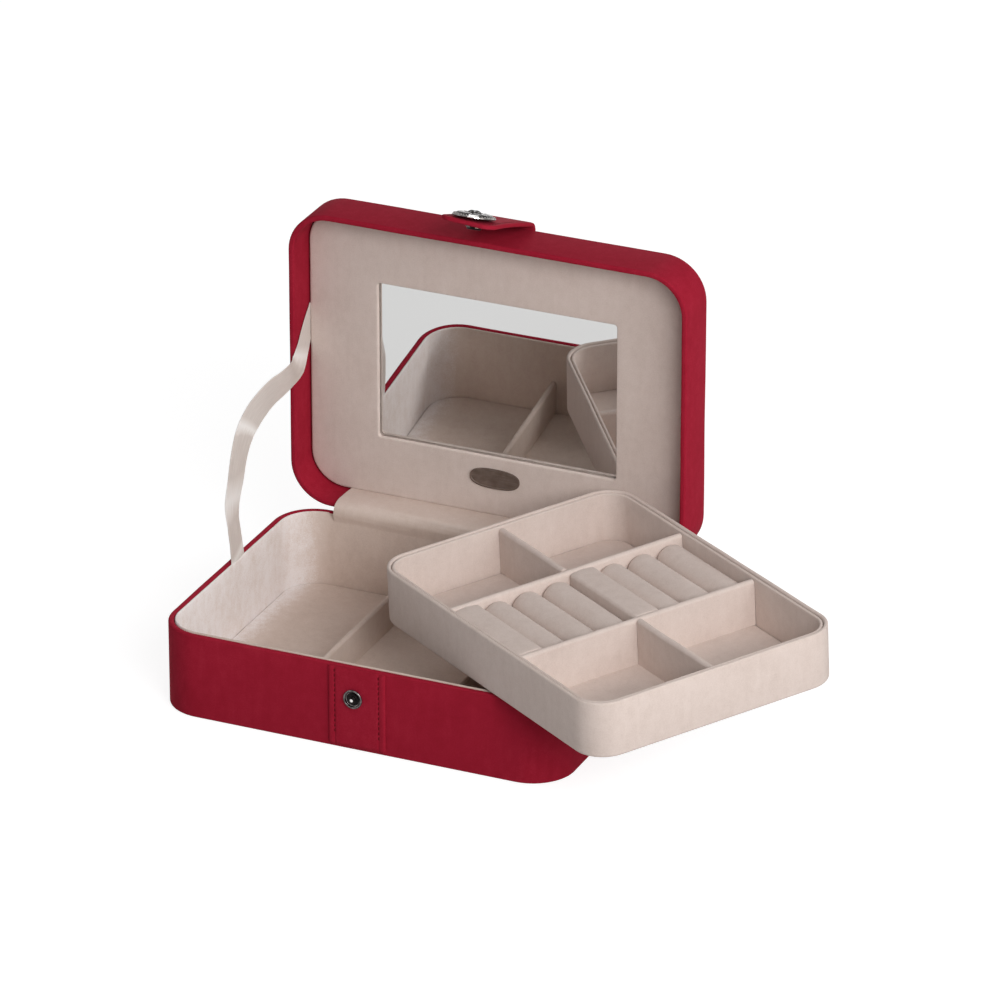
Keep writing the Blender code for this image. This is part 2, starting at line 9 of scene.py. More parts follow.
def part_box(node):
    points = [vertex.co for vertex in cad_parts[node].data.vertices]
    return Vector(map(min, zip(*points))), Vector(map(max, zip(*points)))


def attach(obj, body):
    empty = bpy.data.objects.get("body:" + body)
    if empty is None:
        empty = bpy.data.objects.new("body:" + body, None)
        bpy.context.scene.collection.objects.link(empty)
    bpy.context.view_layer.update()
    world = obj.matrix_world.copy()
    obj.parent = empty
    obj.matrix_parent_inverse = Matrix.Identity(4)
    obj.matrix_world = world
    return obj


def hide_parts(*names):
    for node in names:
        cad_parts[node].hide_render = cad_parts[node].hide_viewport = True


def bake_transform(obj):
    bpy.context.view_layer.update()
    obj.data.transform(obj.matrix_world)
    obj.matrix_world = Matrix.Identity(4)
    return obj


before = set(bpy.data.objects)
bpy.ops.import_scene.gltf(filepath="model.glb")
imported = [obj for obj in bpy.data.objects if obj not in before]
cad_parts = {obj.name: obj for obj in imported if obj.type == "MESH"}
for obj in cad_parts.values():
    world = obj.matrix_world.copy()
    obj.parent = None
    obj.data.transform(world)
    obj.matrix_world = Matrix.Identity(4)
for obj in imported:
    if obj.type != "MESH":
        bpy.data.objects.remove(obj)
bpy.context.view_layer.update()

print("frame loaded:", len(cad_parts), "nodes")

# the camera stands in front and to the right, far off with a long lens
cameraSet = {"azimuth": 24.02, "elevation": 24.98, "distance": 3.475, "target": (0.0407, 0, 0.1034),
             "lens": 268.9}


# unit vector, with the azimuth in degrees from the front round to the right, and the elevation upwards
def towards(azimuth, elevation):
    turn = math.radians(azimuth)
    rise = math.radians(elevation)
    return Vector((math.sin(turn) * math.cos(rise), -math.cos(turn) * math.cos(rise), math.sin(rise)))


# cameras and lamps look along their own -Z
def turnAway(made, away):
    made.rotation_mode = "QUATERNION"
    made.rotation_quaternion = away.to_track_quat("Z", "Y")


def makeCamera():
    back = towards(cameraSet["azimuth"], cameraSet["elevation"])
    bpy.ops.object.camera_add(location=Vector(cameraSet["target"]) + back * cameraSet["distance"])
    camera = bpy.context.object
    camera.name = "shopCamera"
    turnAway(camera, back)
    camera.data.lens = cameraSet["lens"]
    camera.data.sensor_width = 36
    camera.data.clip_start = 0.1
    camera.data.clip_end = 60
    bpy.context.scene.camera = camera


makeCamera()
print("camera placed")


# taps are linked to a node's inputs, plain values are set on them
def feed(material, made, values):
    for key, value in values.items():
        if isinstance(value, Tap):
            material.node_tree.links.new(value.socket, made.inputs[key])
        else:
            made.inputs[key].default_value = value


# wraps one output socket, so that shader maths reads as plain expressions
class Tap:
    def __init__(self, material, socket=None):
        self.material = material
        self.socket = socket

    def node(self, kind, values=None, settings=None, out=0):
        made = self.material.node_tree.nodes.new(kind)
        for key, setting in (settings or {}).items():
            setattr(made, key, setting)
        feed(self.material, made, values or {})
        return Tap(self.material, made.outputs[out])

    # another output of the same node
    def beside(self, out):
        return Tap(self.material, self.socket.node.outputs[out])

    def maths(self, operation, first, second=0):
        return self.node("ShaderNodeMath", {0: first, 1: second}, {"operation": operation})

    def __add__(self, other):
        return self.maths("ADD", self, other)

    def __sub__(self, other):
        return self.maths("SUBTRACT", self, other)

    def __rsub__(self, other):
        return self.maths("SUBTRACT", other, self)

    def __mul__(self, other):
        return self.maths("MULTIPLY", self, other)

    def clipped(self, low, high):
        return self.node("ShaderNodeMapRange", {0: self, 1: low, 2: high, 3: 0, 4: 1}, {"clamp": True})

    def mixed(self, first, second):
        values = {0: self, 6: (*first, 1), 7: (*second, 1)}
        return self.node("ShaderNodeMix", values, {"data_type": "RGBA"}, out=2)

    def ramp(self, stops):
        made = self.node("ShaderNodeValToRGB", {"Fac": self})
        elements = made.socket.node.color_ramp.elements
        while len(elements) < len(stops):
            elements.new(0.5)
        for stop, (place, colour) in zip(elements, stops):
            stop.position = place
            stop.color = (*colour, 1)
        return made

    # where a point lies on its object
    def place(self):
        return self.node("ShaderNodeTexCoord", out=3)

    def stretched(self, scale):
        return self.node("ShaderNodeMapping", {"Vector": self, "Scale": scale})

    def cloud(self, scale, detail, **more):
        return self.node("ShaderNodeTexNoise", {"Vector": self, "Scale": scale, "Detail": detail, **more})

    def bump(self, strength, distance, **more):
        values = {"Strength": strength, "Distance": distance, "Height": self, **more}
        return self.node("ShaderNodeBump", values)


def newMaterial(name):
    material = bpy.data.materials.new(name)
    material.use_nodes = True
    return material, Tap(material)


# taps go in where the surface varies, plain values where it is the same all over
def paint(material, values):
    feed(material, material.node_tree.nodes["Principled BSDF"], values)
    return material


# suede: a fine nap that lies one way in one patch and another way in the next
suedes = {
    "red": {"deep": (0.265, 0.0070, 0.020), "mid": (0.332, 0.0105, 0.029), "pale": (0.400, 0.0200, 0.043),
            "roughness": 0.86, "sheen": 0.02, "sheenTint": (1.0, 0.2, 0.25), "grain": 0.00008},
    "cream": {"deep": (0.585, 0.478, 0.428), "mid": (0.662, 0.555, 0.503), "pale": (0.720, 0.617, 0.568),
              "roughness": 0.9, "sheen": 0.14, "sheenTint": (1.0, 0.98, 0.96), "grain": 0.00006},
}
# inside the base: a warmer, slightly darker copy of the cream suede as painted shade, made paler on the left
# wall and over the hinge as painted light
suedes["brushed"] = {**suedes["cream"], "deep": (0.575, 0.458, 0.396), "mid": (0.655, 0.533, 0.462),
                     "pale": (0.715, 0.600, 0.535), "paintedLight": (0.905, 0.850, 0.835),
                     "left": (-0.080, -0.096), "leftWallPaintedLight": 0.40, "crest": (0.0435, 0.0470), "hingePaintedLight": 0.10}


def makeSuede(name, look):
    material, tap = newMaterial(name)
    place = tap.place()
    patch, speck = 45, 1500  # noise scales of the brushed patches and of the nap
    wander = place.cloud(patch, 4, Roughness=0.6)
    smudge = place.cloud(patch * 6, 3)
    nap = place.cloud(speck, 2, Roughness=0.7)
    fuzz = place.cloud(speck * 3.1, 1)
    slack = place.cloud(28, 2)
    stroke = place.stretched((240, 240, 50)).cloud(1, 3, Distortion=0.6)
    tone = wander * 0.2 + smudge * 0.2 + stroke * 0.2 + nap * 0.4
    stops = [(0.3, look["deep"]), (0.5, look["mid"]), (0.7, look["pale"])]
    # painted light: paler towards the base's left wall and over the hinge cloth's crest
    if "paintedLight" in look:
        across = tap.node("ShaderNodeSeparateXYZ", {"Vector": place})
        tone = tone + across.clipped(*look["left"]) * look["leftWallPaintedLight"]
        tone = tone + across.beside(2).clipped(*look["crest"]) * look["hingePaintedLight"]
        stops.append((0.95, look["paintedLight"]))
    pile = (nap * 0.7 + fuzz * 0.3).bump(0.55, look["grain"])
    return paint(material, {
        "Base Color": tone.ramp(stops),
        "Roughness": (nap * 0.12 + stroke * 0.06) + (look["roughness"] - 0.09),
        "Normal": slack.bump(0.5, 0.0006, Normal=pile),
        "Specular IOR Level": 0.1,
        "Sheen Weight": look["sheen"],
        "Sheen Roughness": 0.45,
        "Sheen Tint": (*look["sheenTint"], 1),
    })


metals = {
    "gunmetal": {"low": (0.035, 0.030, 0.031), "high": (0.19, 0.172, 0.17), "rough": 0.08, "scratch": 900},
    # the dark steel paints the shade in the stud's dish and darkens the socket; the bright steel is a painted
    # glint on the stud's tip, the cap's edge and the socket's side
    "darkSteel": {"low": (0.006, 0.005, 0.005), "high": (0.022, 0.018, 0.018), "rough": 0.3,
                       "scratch": 900},
    "paintedGlintSteel": {"low": (0.55, 0.53, 0.52), "high": (0.92, 0.90, 0.88), "rough": 0.07, "scratch": 900},
    "antiqueSilver": {"low": (0.010, 0.0085, 0.008), "high": (0.25, 0.232, 0.222), "rough": 0.11,
                      "scratch": 2600},
}


def makeMetal(name, worn=False):
    look = metals[name]
    material, tap = newMaterial(name)
    stain = tap.place().cloud(look["scratch"], 5)
    if worn:  # bright where it is rubbed, dark in the hollows
        edge = tap.node("ShaderNodeNewGeometry", out=7)
        rub = (edge.clipped(0.505, 0.6) * 0.9 + stain.clipped(0.5, 0.72) * 0.3).clipped(0.08, 1.0)
    else:
        rub = stain.clipped(0.3, 0.7)
    return paint(material, {
        "Base Color": rub.mixed(look["low"], look["high"]),
        "Roughness": (1 - rub) * 0.1 + (stain * 0.1 + (look["rough"] - 0.05)),
        "Normal": stain.bump(0.3, 0.00003),
        "Metallic": 1,
    })


def makePlateBronze(name):
    material, tap = newMaterial(name)
    place = tap.place()
    brush = place.stretched((120, 4000, 4000)).cloud(1, 3)
    tone = brush * 0.5 + place.cloud(260, 4) * 0.5
    stops = [(0.3, (0.105, 0.076, 0.062)), (0.55, (0.170, 0.126, 0.104)), (0.75, (0.240, 0.184, 0.155))]
    return paint(material, {
        "Base Color": tone.ramp(stops),
        "Roughness": brush * 0.2 + 0.42,
        "Normal": brush.bump(0.25, 0.00002),
        "Metallic": 0.5,
        "Specular IOR Level": 0.2,
    })


# the glass lies a little askew in its frame, which shows in what it reflects
mirrorSet = {"leanForward": -3.14, "turnSide": 2.09}


def makeMirror(name, solid):
    material, tap = newMaterial(name)
    facing = solid.matrix_world.to_3x3().inverted() @ towards(mirrorSet["turnSide"], mirrorSet["leanForward"])
    convert = {"vector_type": "NORMAL", "convert_from": "OBJECT", "convert_to": "WORLD"}
    return paint(material, {
        "Base Color": (0.665, 0.665, 0.66, 1),
        "Roughness": tap.place().cloud(30, 2) * 0.012 + 0.004,
        "Normal": tap.node("ShaderNodeVectorTransform", {"Vector": facing}, convert),
        "Metallic": 1,
    })


# satin runs along the ribbon's own UV map: U across, V along in widths
satinSet = {
    # painted highlights across the ribbon, with painted shade beside each: middle and half width of each
    "paintedHighlights": [(0.5, 0.35), (2.8, 0.9), (5.5, 0.35), (10.2, 0.45)],
    "stops": [(0.15, (0.54, 0.465, 0.42)), (0.5, (0.72, 0.65, 0.605)), (0.85, (0.90, 0.86, 0.83))],
}


def makeSatin(name):
    material, tap = newMaterial(name)
    uv = tap.node("ShaderNodeUVMap", settings={"uv_map": "UVMap"})
    across = tap.node("ShaderNodeSeparateXYZ", {"Vector": uv})
    along = across.beside(1)
    weft = tap.maths("SINE", along * 420) * 0.5 + 0.5
    warp = tap.maths("SINE", across * 300) * 0.5 + 0.5
    edge = tap.maths("ABSOLUTE", across - 0.5).clipped(0.44, 0.475)
    streak = uv.stretched((26, 1.2, 1)).cloud(1, 3)
    slanted = along + across * 0.35 + streak * 0.25
    paintedShine = 0
    # painted highlights: bright bands across the ribbon, each with a painted shade band beside it
    for middle, width in satinSet["paintedHighlights"]:
        off = tap.maths("ABSOLUTE", slanted - middle)
        paintedShine = tap.maths("MAXIMUM", paintedShine, 1 - off.clipped(0, width))
        after = tap.maths("ABSOLUTE", slanted - (middle - width * 1.7))
        paintedShine = paintedShine - (1 - after.clipped(0, width)) * 0.4
    tone = (streak * 0.4 + warp * 0.05 + 0.17) + paintedShine * 0.5 + edge * 0.12
    return paint(material, {
        "Base Color": tone.ramp(satinSet["stops"]),
        "Roughness": streak * 0.1 + edge * 0.2 + 0.27,
        "Normal": (warp * 0.5 + weft * 0.3 + edge * 0.8).bump(0.35, 0.00005),
        "Sheen Weight": 0.3,
        "Specular IOR Level": 0.8,
    })


def scaled(colour, factor):
    return tuple(part * factor for part in colour)


def makeFelt(name, colour, scale):
    material, tap = newMaterial(name)
    fleck = tap.place().cloud(scale, 5, Roughness=0.7)
    return paint(material, {
        "Base Color": fleck.mixed(scaled(colour, 0.6), scaled(colour, 1.5)),
        "Normal": fleck.bump(0.6, 0.00015),
        "Roughness": 0.95,
    })


def makeThread(name, colour):
    material, tap = newMaterial(name)
    values = {"Vector": tap.place(), "Scale": 900, "Distortion": 1}
    ply = tap.node("ShaderNodeTexWave", values, {"bands_direction": "DIAGONAL"})
    return paint(material, {
        "Base Color": ply.mixed(scaled(colour, 0.55), colour),
        "Normal": ply.bump(0.5, 0.00006),
        "Roughness": 0.75,
        "Specular IOR Level": 0.08,
    })


redSuede = makeSuede("redSuede", suedes["red"])
creamSuede = makeSuede("creamSuede", suedes["cream"])
brushedSuede = makeSuede("brushedSuede", suedes["brushed"])
gunmetal = makeMetal("gunmetal")
darkSteel = makeMetal("darkSteel")
paintedGlintSteel = makeMetal("paintedGlintSteel")
antiqueSilver = makeMetal("antiqueSilver", worn=True)
plateBronze = makePlateBronze("plateBronze")
silveredGlass = makeMirror("silveredGlass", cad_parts["mirror_glass"])
creamSatin = makeSatin("creamSatin")
darkFelt = makeFelt("darkFelt", (0.05, 0.04, 0.04), 1200)
greyBoard = makeFelt("greyBoard", (0.35, 0.32, 0.29), 500)
# dark red thread: partly its own colour, partly painted shade of the seam's dip it lies in
redThread = makeThread("redThread", (0.175, 0.006, 0.014))
print("materials mixed")


# modelling helpers: nothing selected, then one piece in edit mode at a time
def startFresh():
    if bpy.context.mode != "OBJECT":
        bpy.ops.object.mode_set(mode="OBJECT")
    bpy.ops.object.select_all(action="DESELECT")


def choose(piece):
    startFresh()
    bpy.context.view_layer.objects.active = piece
    piece.select_set(True)


def newPiece(name, mesh):
    piece = bpy.data.objects.new(name, mesh)
    bpy.context.scene.collection.objects.link(piece)
    return piece


def pick(kind, test):
    bpy.ops.mesh.select_mode(type=kind)
    bpy.ops.mesh.select_all(action="DESELECT")
    mesh = bpy.context.edit_object.data
    shape = bmesh.from_edit_mesh(mesh)
    for part in shape.faces if kind == "FACE" else shape.edges:
        if test(part):
            part.select_set(True)
    bmesh.update_edit_mesh(mesh)


def pickFaces(test):
    pick("FACE", lambda face: test(face.calc_center_median(), face.normal))


# how far an edge of the open mesh reaches along one axis
def reachAlong(edge, axis):
    return abs(edge.verts[0].co[axis] - edge.verts[1].co[axis])


def bevelPicked(offset, segments):
    bpy.ops.mesh.bevel(offset_type="OFFSET", offset=offset, segments=segments, profile=0.5,
                       affect="EDGES", clamp_overlap=False)


# round the sharp edges that lie level at a height
def softenAt(height, offset, segments, slack=1e-5):
    def test(edge):
        level = all(abs(vert.co.z - height) < slack for vert in edge.verts)
        return level and len(edge.link_faces) == 2 and edge.calc_face_angle() > 1

    pick("EDGE", test)
    bevelPicked(offset, segments)


def startCube(name, size, middle):
    startFresh()
    bpy.ops.mesh.primitive_cube_add(size=1, location=(0, 0, 0))
    piece = bpy.context.object
    piece.name = name
    bpy.ops.object.mode_set(mode="EDIT")
    bpy.ops.transform.resize(value=size)
    bpy.ops.transform.translate(value=middle)
    return piece


# a box with upright rounded corners, between two heights
def roundedBox(name, length, width, corner, bottom, top, steps=14):
    piece = startCube(name, (length, width, top - bottom), (0, 0, (bottom + top) / 2))
    pick("EDGE", lambda edge: reachAlong(edge, 2) > (top - bottom) * 0.9)
    bevelPicked(corner, steps)
    return piece


# a rounded box with its top face sunk, so that it has walls and a floor; rim and foot are rounded
def openBox(name, length, width, look, bottom, top, depth):
    piece = roundedBox(name, length, width, look["corner"], bottom, top)
    pickFaces(lambda centre, normal: normal.z > 0.9 and centre.z > top - 1e-5)
    bpy.ops.mesh.inset(thickness=look["wall"], depth=0)
    bpy.ops.mesh.extrude_region_move(TRANSFORM_OT_translate={"value": (0, 0, -depth)})
    softenAt(top, look["rimRound"], 4)
    softenAt(bottom, *look["foot"])
    return piece


# vector noise starts at a new place in every run, unless it has a seed
noise.seed_set(5)


# long straight stretches get cross cuts, and then bend a little: hand-wrapped board is never quite straight
def waver(piece, amount, scale, seed, cuts=24, keepLow=-1):
    pick("EDGE", lambda edge: edge.calc_length() > 0.03 and reachAlong(edge, 2) < 1e-5)
    bpy.ops.mesh.subdivide(number_cuts=cuts)
    bpy.ops.object.mode_set(mode="OBJECT")
    for vert in piece.data.vertices:
        if vert.co.z >= keepLow:
            place = vert.co * scale + Vector((seed, seed * 2.3, seed * 4.1))
            vert.co += noise.noise_vector(place) * amount


def finishPiece(piece, material, angle=35, place=None):
    if place is not None:
        startFresh()
        piece.data.transform(place)
    choose(piece)
    bpy.ops.object.mode_set(mode="EDIT")
    bpy.ops.mesh.select_all(action="SELECT")
    bpy.ops.mesh.normals_make_consistent(inside=False)
    bpy.ops.object.mode_set(mode="OBJECT")
    bpy.ops.object.shade_smooth_by_angle(angle=math.radians(angle))
    piece.data.materials.clear()
    piece.data.materials.append(material)
    piece.select_set(False)
    return piece


def standFor(piece, body, slotName, *nodes):
    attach(piece, body)
    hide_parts(*nodes)


# mesh straight from rows of points; each row is ringed, tube closes the last row to the first
def skin(name, rows, ringed=True, tube=False, capped=True):
    mesh = bpy.data.meshes.new(name)
    count = len(rows[0])
    faces = []
    for row in range(len(rows) if tube else len(rows) - 1):
        for step in range(count if ringed else count - 1):
            here, above = row * count, (row + 1) % len(rows) * count
            after = (step + 1) % count
            faces.append((here + step, here + after, above + after, above + step))
    if capped:
        faces.append(tuple(reversed(range(count))))
        faces.append(tuple((len(rows) - 1) * count + step for step in range(count)))
    mesh.from_pydata([tuple(point) for row in rows for point in row], [], faces)
    return newPiece(name, mesh)


# a rounded rectangle as points, with its straight sides cut into runs
def outlinePoints(length, width, corner, steps, runs):
    points = []
    for sideX, sideY, turn in ((1, 1, 0), (-1, 1, 90), (-1, -1, 180), (1, -1, 270)):
        centre = Vector((sideX * (length / 2 - corner), sideY * (width / 2 - corner), 0))
        for step in range(steps + 1):
            angle = math.radians(turn + 90 * step / steps)
            points.append(centre + Vector((corner * math.cos(angle), corner * math.sin(angle), 0)))
    full = []
    for index, point in enumerate(points):
        full.append(point)
        after = points[(index + 1) % len(points)]
        if (after - point).length > corner * 0.6:
            full += [point.lerp(after, cut / runs) for cut in range(1, runs)]
    return full


# a soft curve through points, with cuts between each two
def smoothPath(points, cuts):
    points = [Vector(point) for point in points]
    fine = []
    for index, (start, end) in enumerate(zip(points, points[1:])):
        before = points[max(index - 1, 0)]
        after = points[min(index + 2, len(points) - 1)]
        for cut in range(cuts):
            t = cut / cuts
            fine.append(0.5 * ((2 * start) + (end - before) * t
                               + (2 * before - 5 * start + 4 * end - after) * t ** 2
                               + (3 * start - before - 3 * end + after) * t ** 3))
    return fine + [points[-1]]


# which way a path runs at one of its points
def headingAt(path, index):
    return (path[min(index + 1, len(path) - 1)] - path[max(index - 1, 0)]).normalized()


def quarterTurn(place, turn=90):
    return Matrix.Translation(place) @ Matrix.Rotation(math.radians(turn), 4, "X")


# one small shape, copied to each place with its own mesh, and all joined to the first of the pieces
def joinCopies(small, places, pieces=()):
    pieces = list(pieces)
    for place in places:
        copy = newPiece(small.name, small.data.copy())
        copy.data.transform(place)
        pieces.append(copy)
    bpy.data.objects.remove(small)
    startFresh()
    for piece in pieces:
        piece.select_set(True)
    bpy.context.view_layer.objects.active = pieces[0]
    bpy.ops.object.join()
    return bpy.context.object


# the base: covered board, open on top
baseSet = {
    "length": 0.206,
    "width": 0.152,
    "corner": 0.021,
    "wall": 0.0028,
    "floor": 0.002,
    "rimRound": 0.0009,
    "footHeight": 0.0001,
    "foot": (0.0007, 6),
    "feltRim": 0.0077,
}
coverWave = 0.00014


def makeBaseCover():
    low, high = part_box("base_shell")
    foot = baseSet["footHeight"]
    piece = openBox("base_cover", high.x - low.x, high.y - low.y, baseSet, foot, high.z,
                    high.z - low.z - baseSet["floor"])
    # the underside stands a hair lower inside its rim
    pickFaces(lambda centre, normal: normal.z < -0.9 and centre.z < foot + 1e-5)
    bpy.ops.mesh.inset(thickness=baseSet["feltRim"] - baseSet["foot"][0], depth=0)
    bpy.ops.mesh.extrude_region_move(TRANSFORM_OT_translate={"value": (0, 0, low.z - foot)})
    waver(piece, coverWave, 30, 1.7, keepLow=low.z + 0.004)
    finishPiece(piece, redSuede)
    standFor(piece, "base", "red_suede", "base_shell")


makeBaseCover()
print("base cover done")

# the lining: wall boards wrapped in cream suede; at the back the same cloth runs on over the hinge to the lid
liningSet = {
    "outset": 0.0031,
    "thick": 0.0012,
    "top": 0.04275,
    "shoulder": 0.0421,
    "bottom": 0.0036,
    "clothThick": 0.00055,
    "clothHalf": 0.0815,
    "drawIn": 0.0008,
    # the cloth's front face at the hinge, as (back, up)
    "path": [(0.0717, 0.0388), (0.0713, 0.0406), (0.0709, 0.0424), (0.0707, 0.0441), (0.0711, 0.0458),
             (0.0721, 0.0473), (0.0738, 0.0484), (0.0762, 0.0489), (0.0800, 0.0490), (0.0850, 0.0490),
             (0.0906, 0.0488)],
    "foldRise": 0.0009,
}


def foldAt(across, travel):
    # slack cloth over the open hinge lies in long shallow folds, deepest left of the tray
    windowAlong = math.exp(-((travel - 0.45) / 0.26) ** 2)
    windowAcross = 1 / (1 + math.exp((across - 0.022) * 180))
    ridge = noise.noise(Vector((across * 14, travel * 5.5 + across * 16, 3.3)))
    crease = noise.noise(Vector((across * 22 + 4, travel * 9 + across * 26, 7.1)))
    return liningSet["foldRise"] * windowAlong * windowAcross * max(0, 0.25 + ridge * 1.1 + crease * 0.6)


def makeBaseLining():
    outset, thick, bottom = liningSet["outset"], liningSet["thick"], liningSet["bottom"]
    shoulder = liningSet["shoulder"]
    half = thick / 2
    outline = outlinePoints(baseSet["length"] - 2 * outset - thick, baseSet["width"] - 2 * outset - thick,
                            baseSet["corner"] - outset - half, 14, 56)
    # the board's section as (out, up): up its outer side, over the lip and down its inner side
    rise = shoulder - bottom
    profile = [(half, bottom + rise * share) for share in (0, 0.35, 0.7)]
    for step in range(7):
        angle = math.pi * step / 6
        profile.append((half * math.cos(angle), shoulder + (liningSet["top"] - shoulder) * math.sin(angle)))
    profile += [(-half, bottom + rise * share) for share in (0.9, 0.7, 0.5, 0.3, 0.12, 0)]
    rows = len(profile)
    # the cloth leaves the board at these rows, on its outer and its inner side
    outerRow, innerRow = 3, 10
    shape = bmesh.new()
    columns = []
    for index, point in enumerate(outline):
        along = (outline[(index + 1) % len(outline)] - outline[index - 1]).normalized()
        out = Vector((along.y, -along.x, 0))
        isBack = point.y > 0.07 and abs(point.x) < liningSet["clothHalf"]
        column = []
        for row, (offset, height) in enumerate(profile):
            if isBack and outerRow < row < innerRow:
                column.append(None)
                continue
            wave = noise.noise(Vector((point.x * 30, point.y * 30, height * 30))) * 0.0001
            column.append(shape.verts.new(point + out * (offset + wave) + Vector((0, 0, height))))
        columns.append(column)
    path = smoothPath(liningSet["path"], 4)
    cloth = {}
    for index, column in enumerate(columns):
        if None not in column:
            continue
        point = outline[index]
        outer, inner = [column[outerRow]], [column[innerRow]]
        for step, spot in enumerate(path):
            travel = step / (len(path) - 1)
            heading = headingAt(path, step)
            normal = Vector((-heading.y, heading.x))
            lift = foldAt(point.x, travel)
            deep = liningSet["clothThick"] + (thick - liningSet["clothThick"]) * max(0, 1 - step / 8)
            across = point.x - point.x / liningSet["clothHalf"] * liningSet["drawIn"] * travel
            inner.append(shape.verts.new((across, *(spot + normal * lift))))
            outer.append(shape.verts.new((across, *(spot - normal * (deep - lift * 0.8)))))
        cloth[index] = (outer, inner)
    for index, column in enumerate(columns):
        after = (index + 1) % len(columns)
        beside = columns[after]
        for row in range(rows):
            above = (row + 1) % rows
            corners = [column[row], beside[row], beside[above], column[above]]
            if None not in corners:
                shape.faces.new(corners)
        if index in cloth and after in cloth:
            outer, inner = cloth[index]
            nextOuter, nextInner = cloth[after]
            for step in range(len(path)):
                shape.faces.new((outer[step], nextOuter[step], nextOuter[step + 1], outer[step + 1]))
                shape.faces.new((inner[step + 1], nextInner[step + 1], nextInner[step], inner[step]))
            shape.faces.new((outer[-1], nextOuter[-1], nextInner[-1], inner[-1]))
        elif index in cloth or after in cloth:
            # the cloth's side, and the lip's cut end beside it
            outer, inner = cloth[index if index in cloth else after]
            for step in range(len(path)):
                shape.faces.new((outer[step], outer[step + 1], inner[step + 1], inner[step]))
            lip = beside if index in cloth else column
            shape.faces.new(lip[outerRow:innerRow + 1] + [inner[0], outer[0]])
    bmesh.ops.recalc_face_normals(shape, faces=shape.faces)
    mesh = bpy.data.meshes.new("base_lining")
    shape.to_mesh(mesh)
    shape.free()
    piece = newPiece("base_lining", mesh)
    finishPiece(piece, brushedSuede, angle=40)
    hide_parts("base_wall_lining", "hinge_lining")
    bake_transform(piece)


makeBaseLining()
print("base lining done")

# floor pads: thin padded boards with soft edges and a low crown
padSet = {"edge": 0.0006, "crown": 0.00016, "insets": (0.003, 0.005)}


def makeFloorPad(node, name, corner, body, suede, size, heights, place=None):
    bottom, top = heights
    piece = roundedBox(name, *size, corner, bottom, top)
    softenAt(top, padSet["edge"], 4)
    pickFaces(lambda middle, normal: normal.z > 0.9 and middle.z > top - 1e-5)
    for inset in padSet["insets"]:
        bpy.ops.mesh.inset(thickness=inset, depth=padSet["crown"])
    finishPiece(piece, suede, place=place)
    standFor(piece, body, "cream_suede", node)


padLow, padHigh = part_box("base_floor_pad")
makeFloorPad("base_floor_pad", "base_floor_cushion", 0.0164, "base", brushedSuede,
             (padHigh.x - padLow.x, padHigh.y - padLow.y), (padLow.z, padHigh.z))
print("base floor done")

# compartment boards: covered card with a round top, a little bowed
boardSet = {"round": 6, "cuts": 19, "bow": 0.0005, "wave": 0.00018}


def makeBoard(node, name, body, axis, reach, thick, across, heights, suede, seed, place=None):
    bottom, top = heights
    length, middle = reach[1] - reach[0], (reach[0] + reach[1]) / 2
    sides, spot = [thick, thick], [across, across]
    sides[axis], spot[axis] = length, middle
    piece = startCube(name, (*sides, top - bottom), (*spot, (bottom + top) / 2))
    pick("EDGE", lambda edge: all(vert.co.z > top - 1e-6 for vert in edge.verts)
         and reachAlong(edge, axis) > thick * 2)
    bevelPicked(thick * 0.49, boardSet["round"])
    pick("EDGE", lambda edge: reachAlong(edge, axis) > thick * 4)
    bpy.ops.mesh.subdivide(number_cuts=boardSet["cuts"])
    bpy.ops.object.mode_set(mode="OBJECT")
    for vert in piece.data.vertices:
        travel = (vert.co[axis] - reach[0]) / length
        free = math.sin(math.pi * travel)
        sway = noise.noise(Vector((travel * 2.2, seed, 0.5))) * boardSet["bow"]
        vert.co[1 - axis] += sway * free * (vert.co.z - bottom) / (top - bottom)
        if vert.co.z > top - thick:
            vert.co.z += noise.noise(Vector((travel * 6, seed * 3, 2.5))) * boardSet["wave"] * free
    finishPiece(piece, suede, place=place)
    standFor(piece, body, "cream_suede", node)


for node, name, seed in (("base_divider_left", "base_board_left", 1.3),
                         ("base_divider_right", "base_board_right", 5.2)):
    low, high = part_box(node)
    makeBoard(node, name, "base", 1, (low.y, high.y), high.x - low.x, (low.x + high.x) / 2, (low.z, high.z),
              brushedSuede, seed)
print("base dividers done")

# front strip: a folded strap sewn down the front wall and turned under the box
stripSet = {
    "middle": 0.0023,
    "half": 0.0145,
    "thick": 0.0009,
    "bend": 0.0028,
    "seamIn": 0.0033,
    "seamDip": 0.00032,
    "wave": 0.00008,
    # places where the face is shaped, in from either edge
    "edges": (0, 0.00002, 0.00015, 0.0004, 0.0008, 0.0013, 0.0018, 0.0022, 0.0026, 0.0029, 0.0031,
              0.0033, 0.0035, 0.0037, 0.0040, 0.0045, 0.0060, 0.009, 0.0115),
}
stitchSet = {"pitch": 0.00258, "length": 0.0018, "thick": 0.0009}


def stripFace(across):
    # how far the strap's face lies in front of the wall, at a place across it
    edge = stripSet["half"] - abs(across)
    swell = 1 - math.exp(-max(edge, 0) / 0.00035)
    dip = math.exp(-((edge - stripSet["seamIn"]) / 0.00042) ** 2)
    puff = 0.00010 * math.exp(-((edge - 0.0013) / 0.0008) ** 2)
    return stripSet["thick"] * (0.35 + 0.65 * swell) + puff - dip * stripSet["seamDip"]


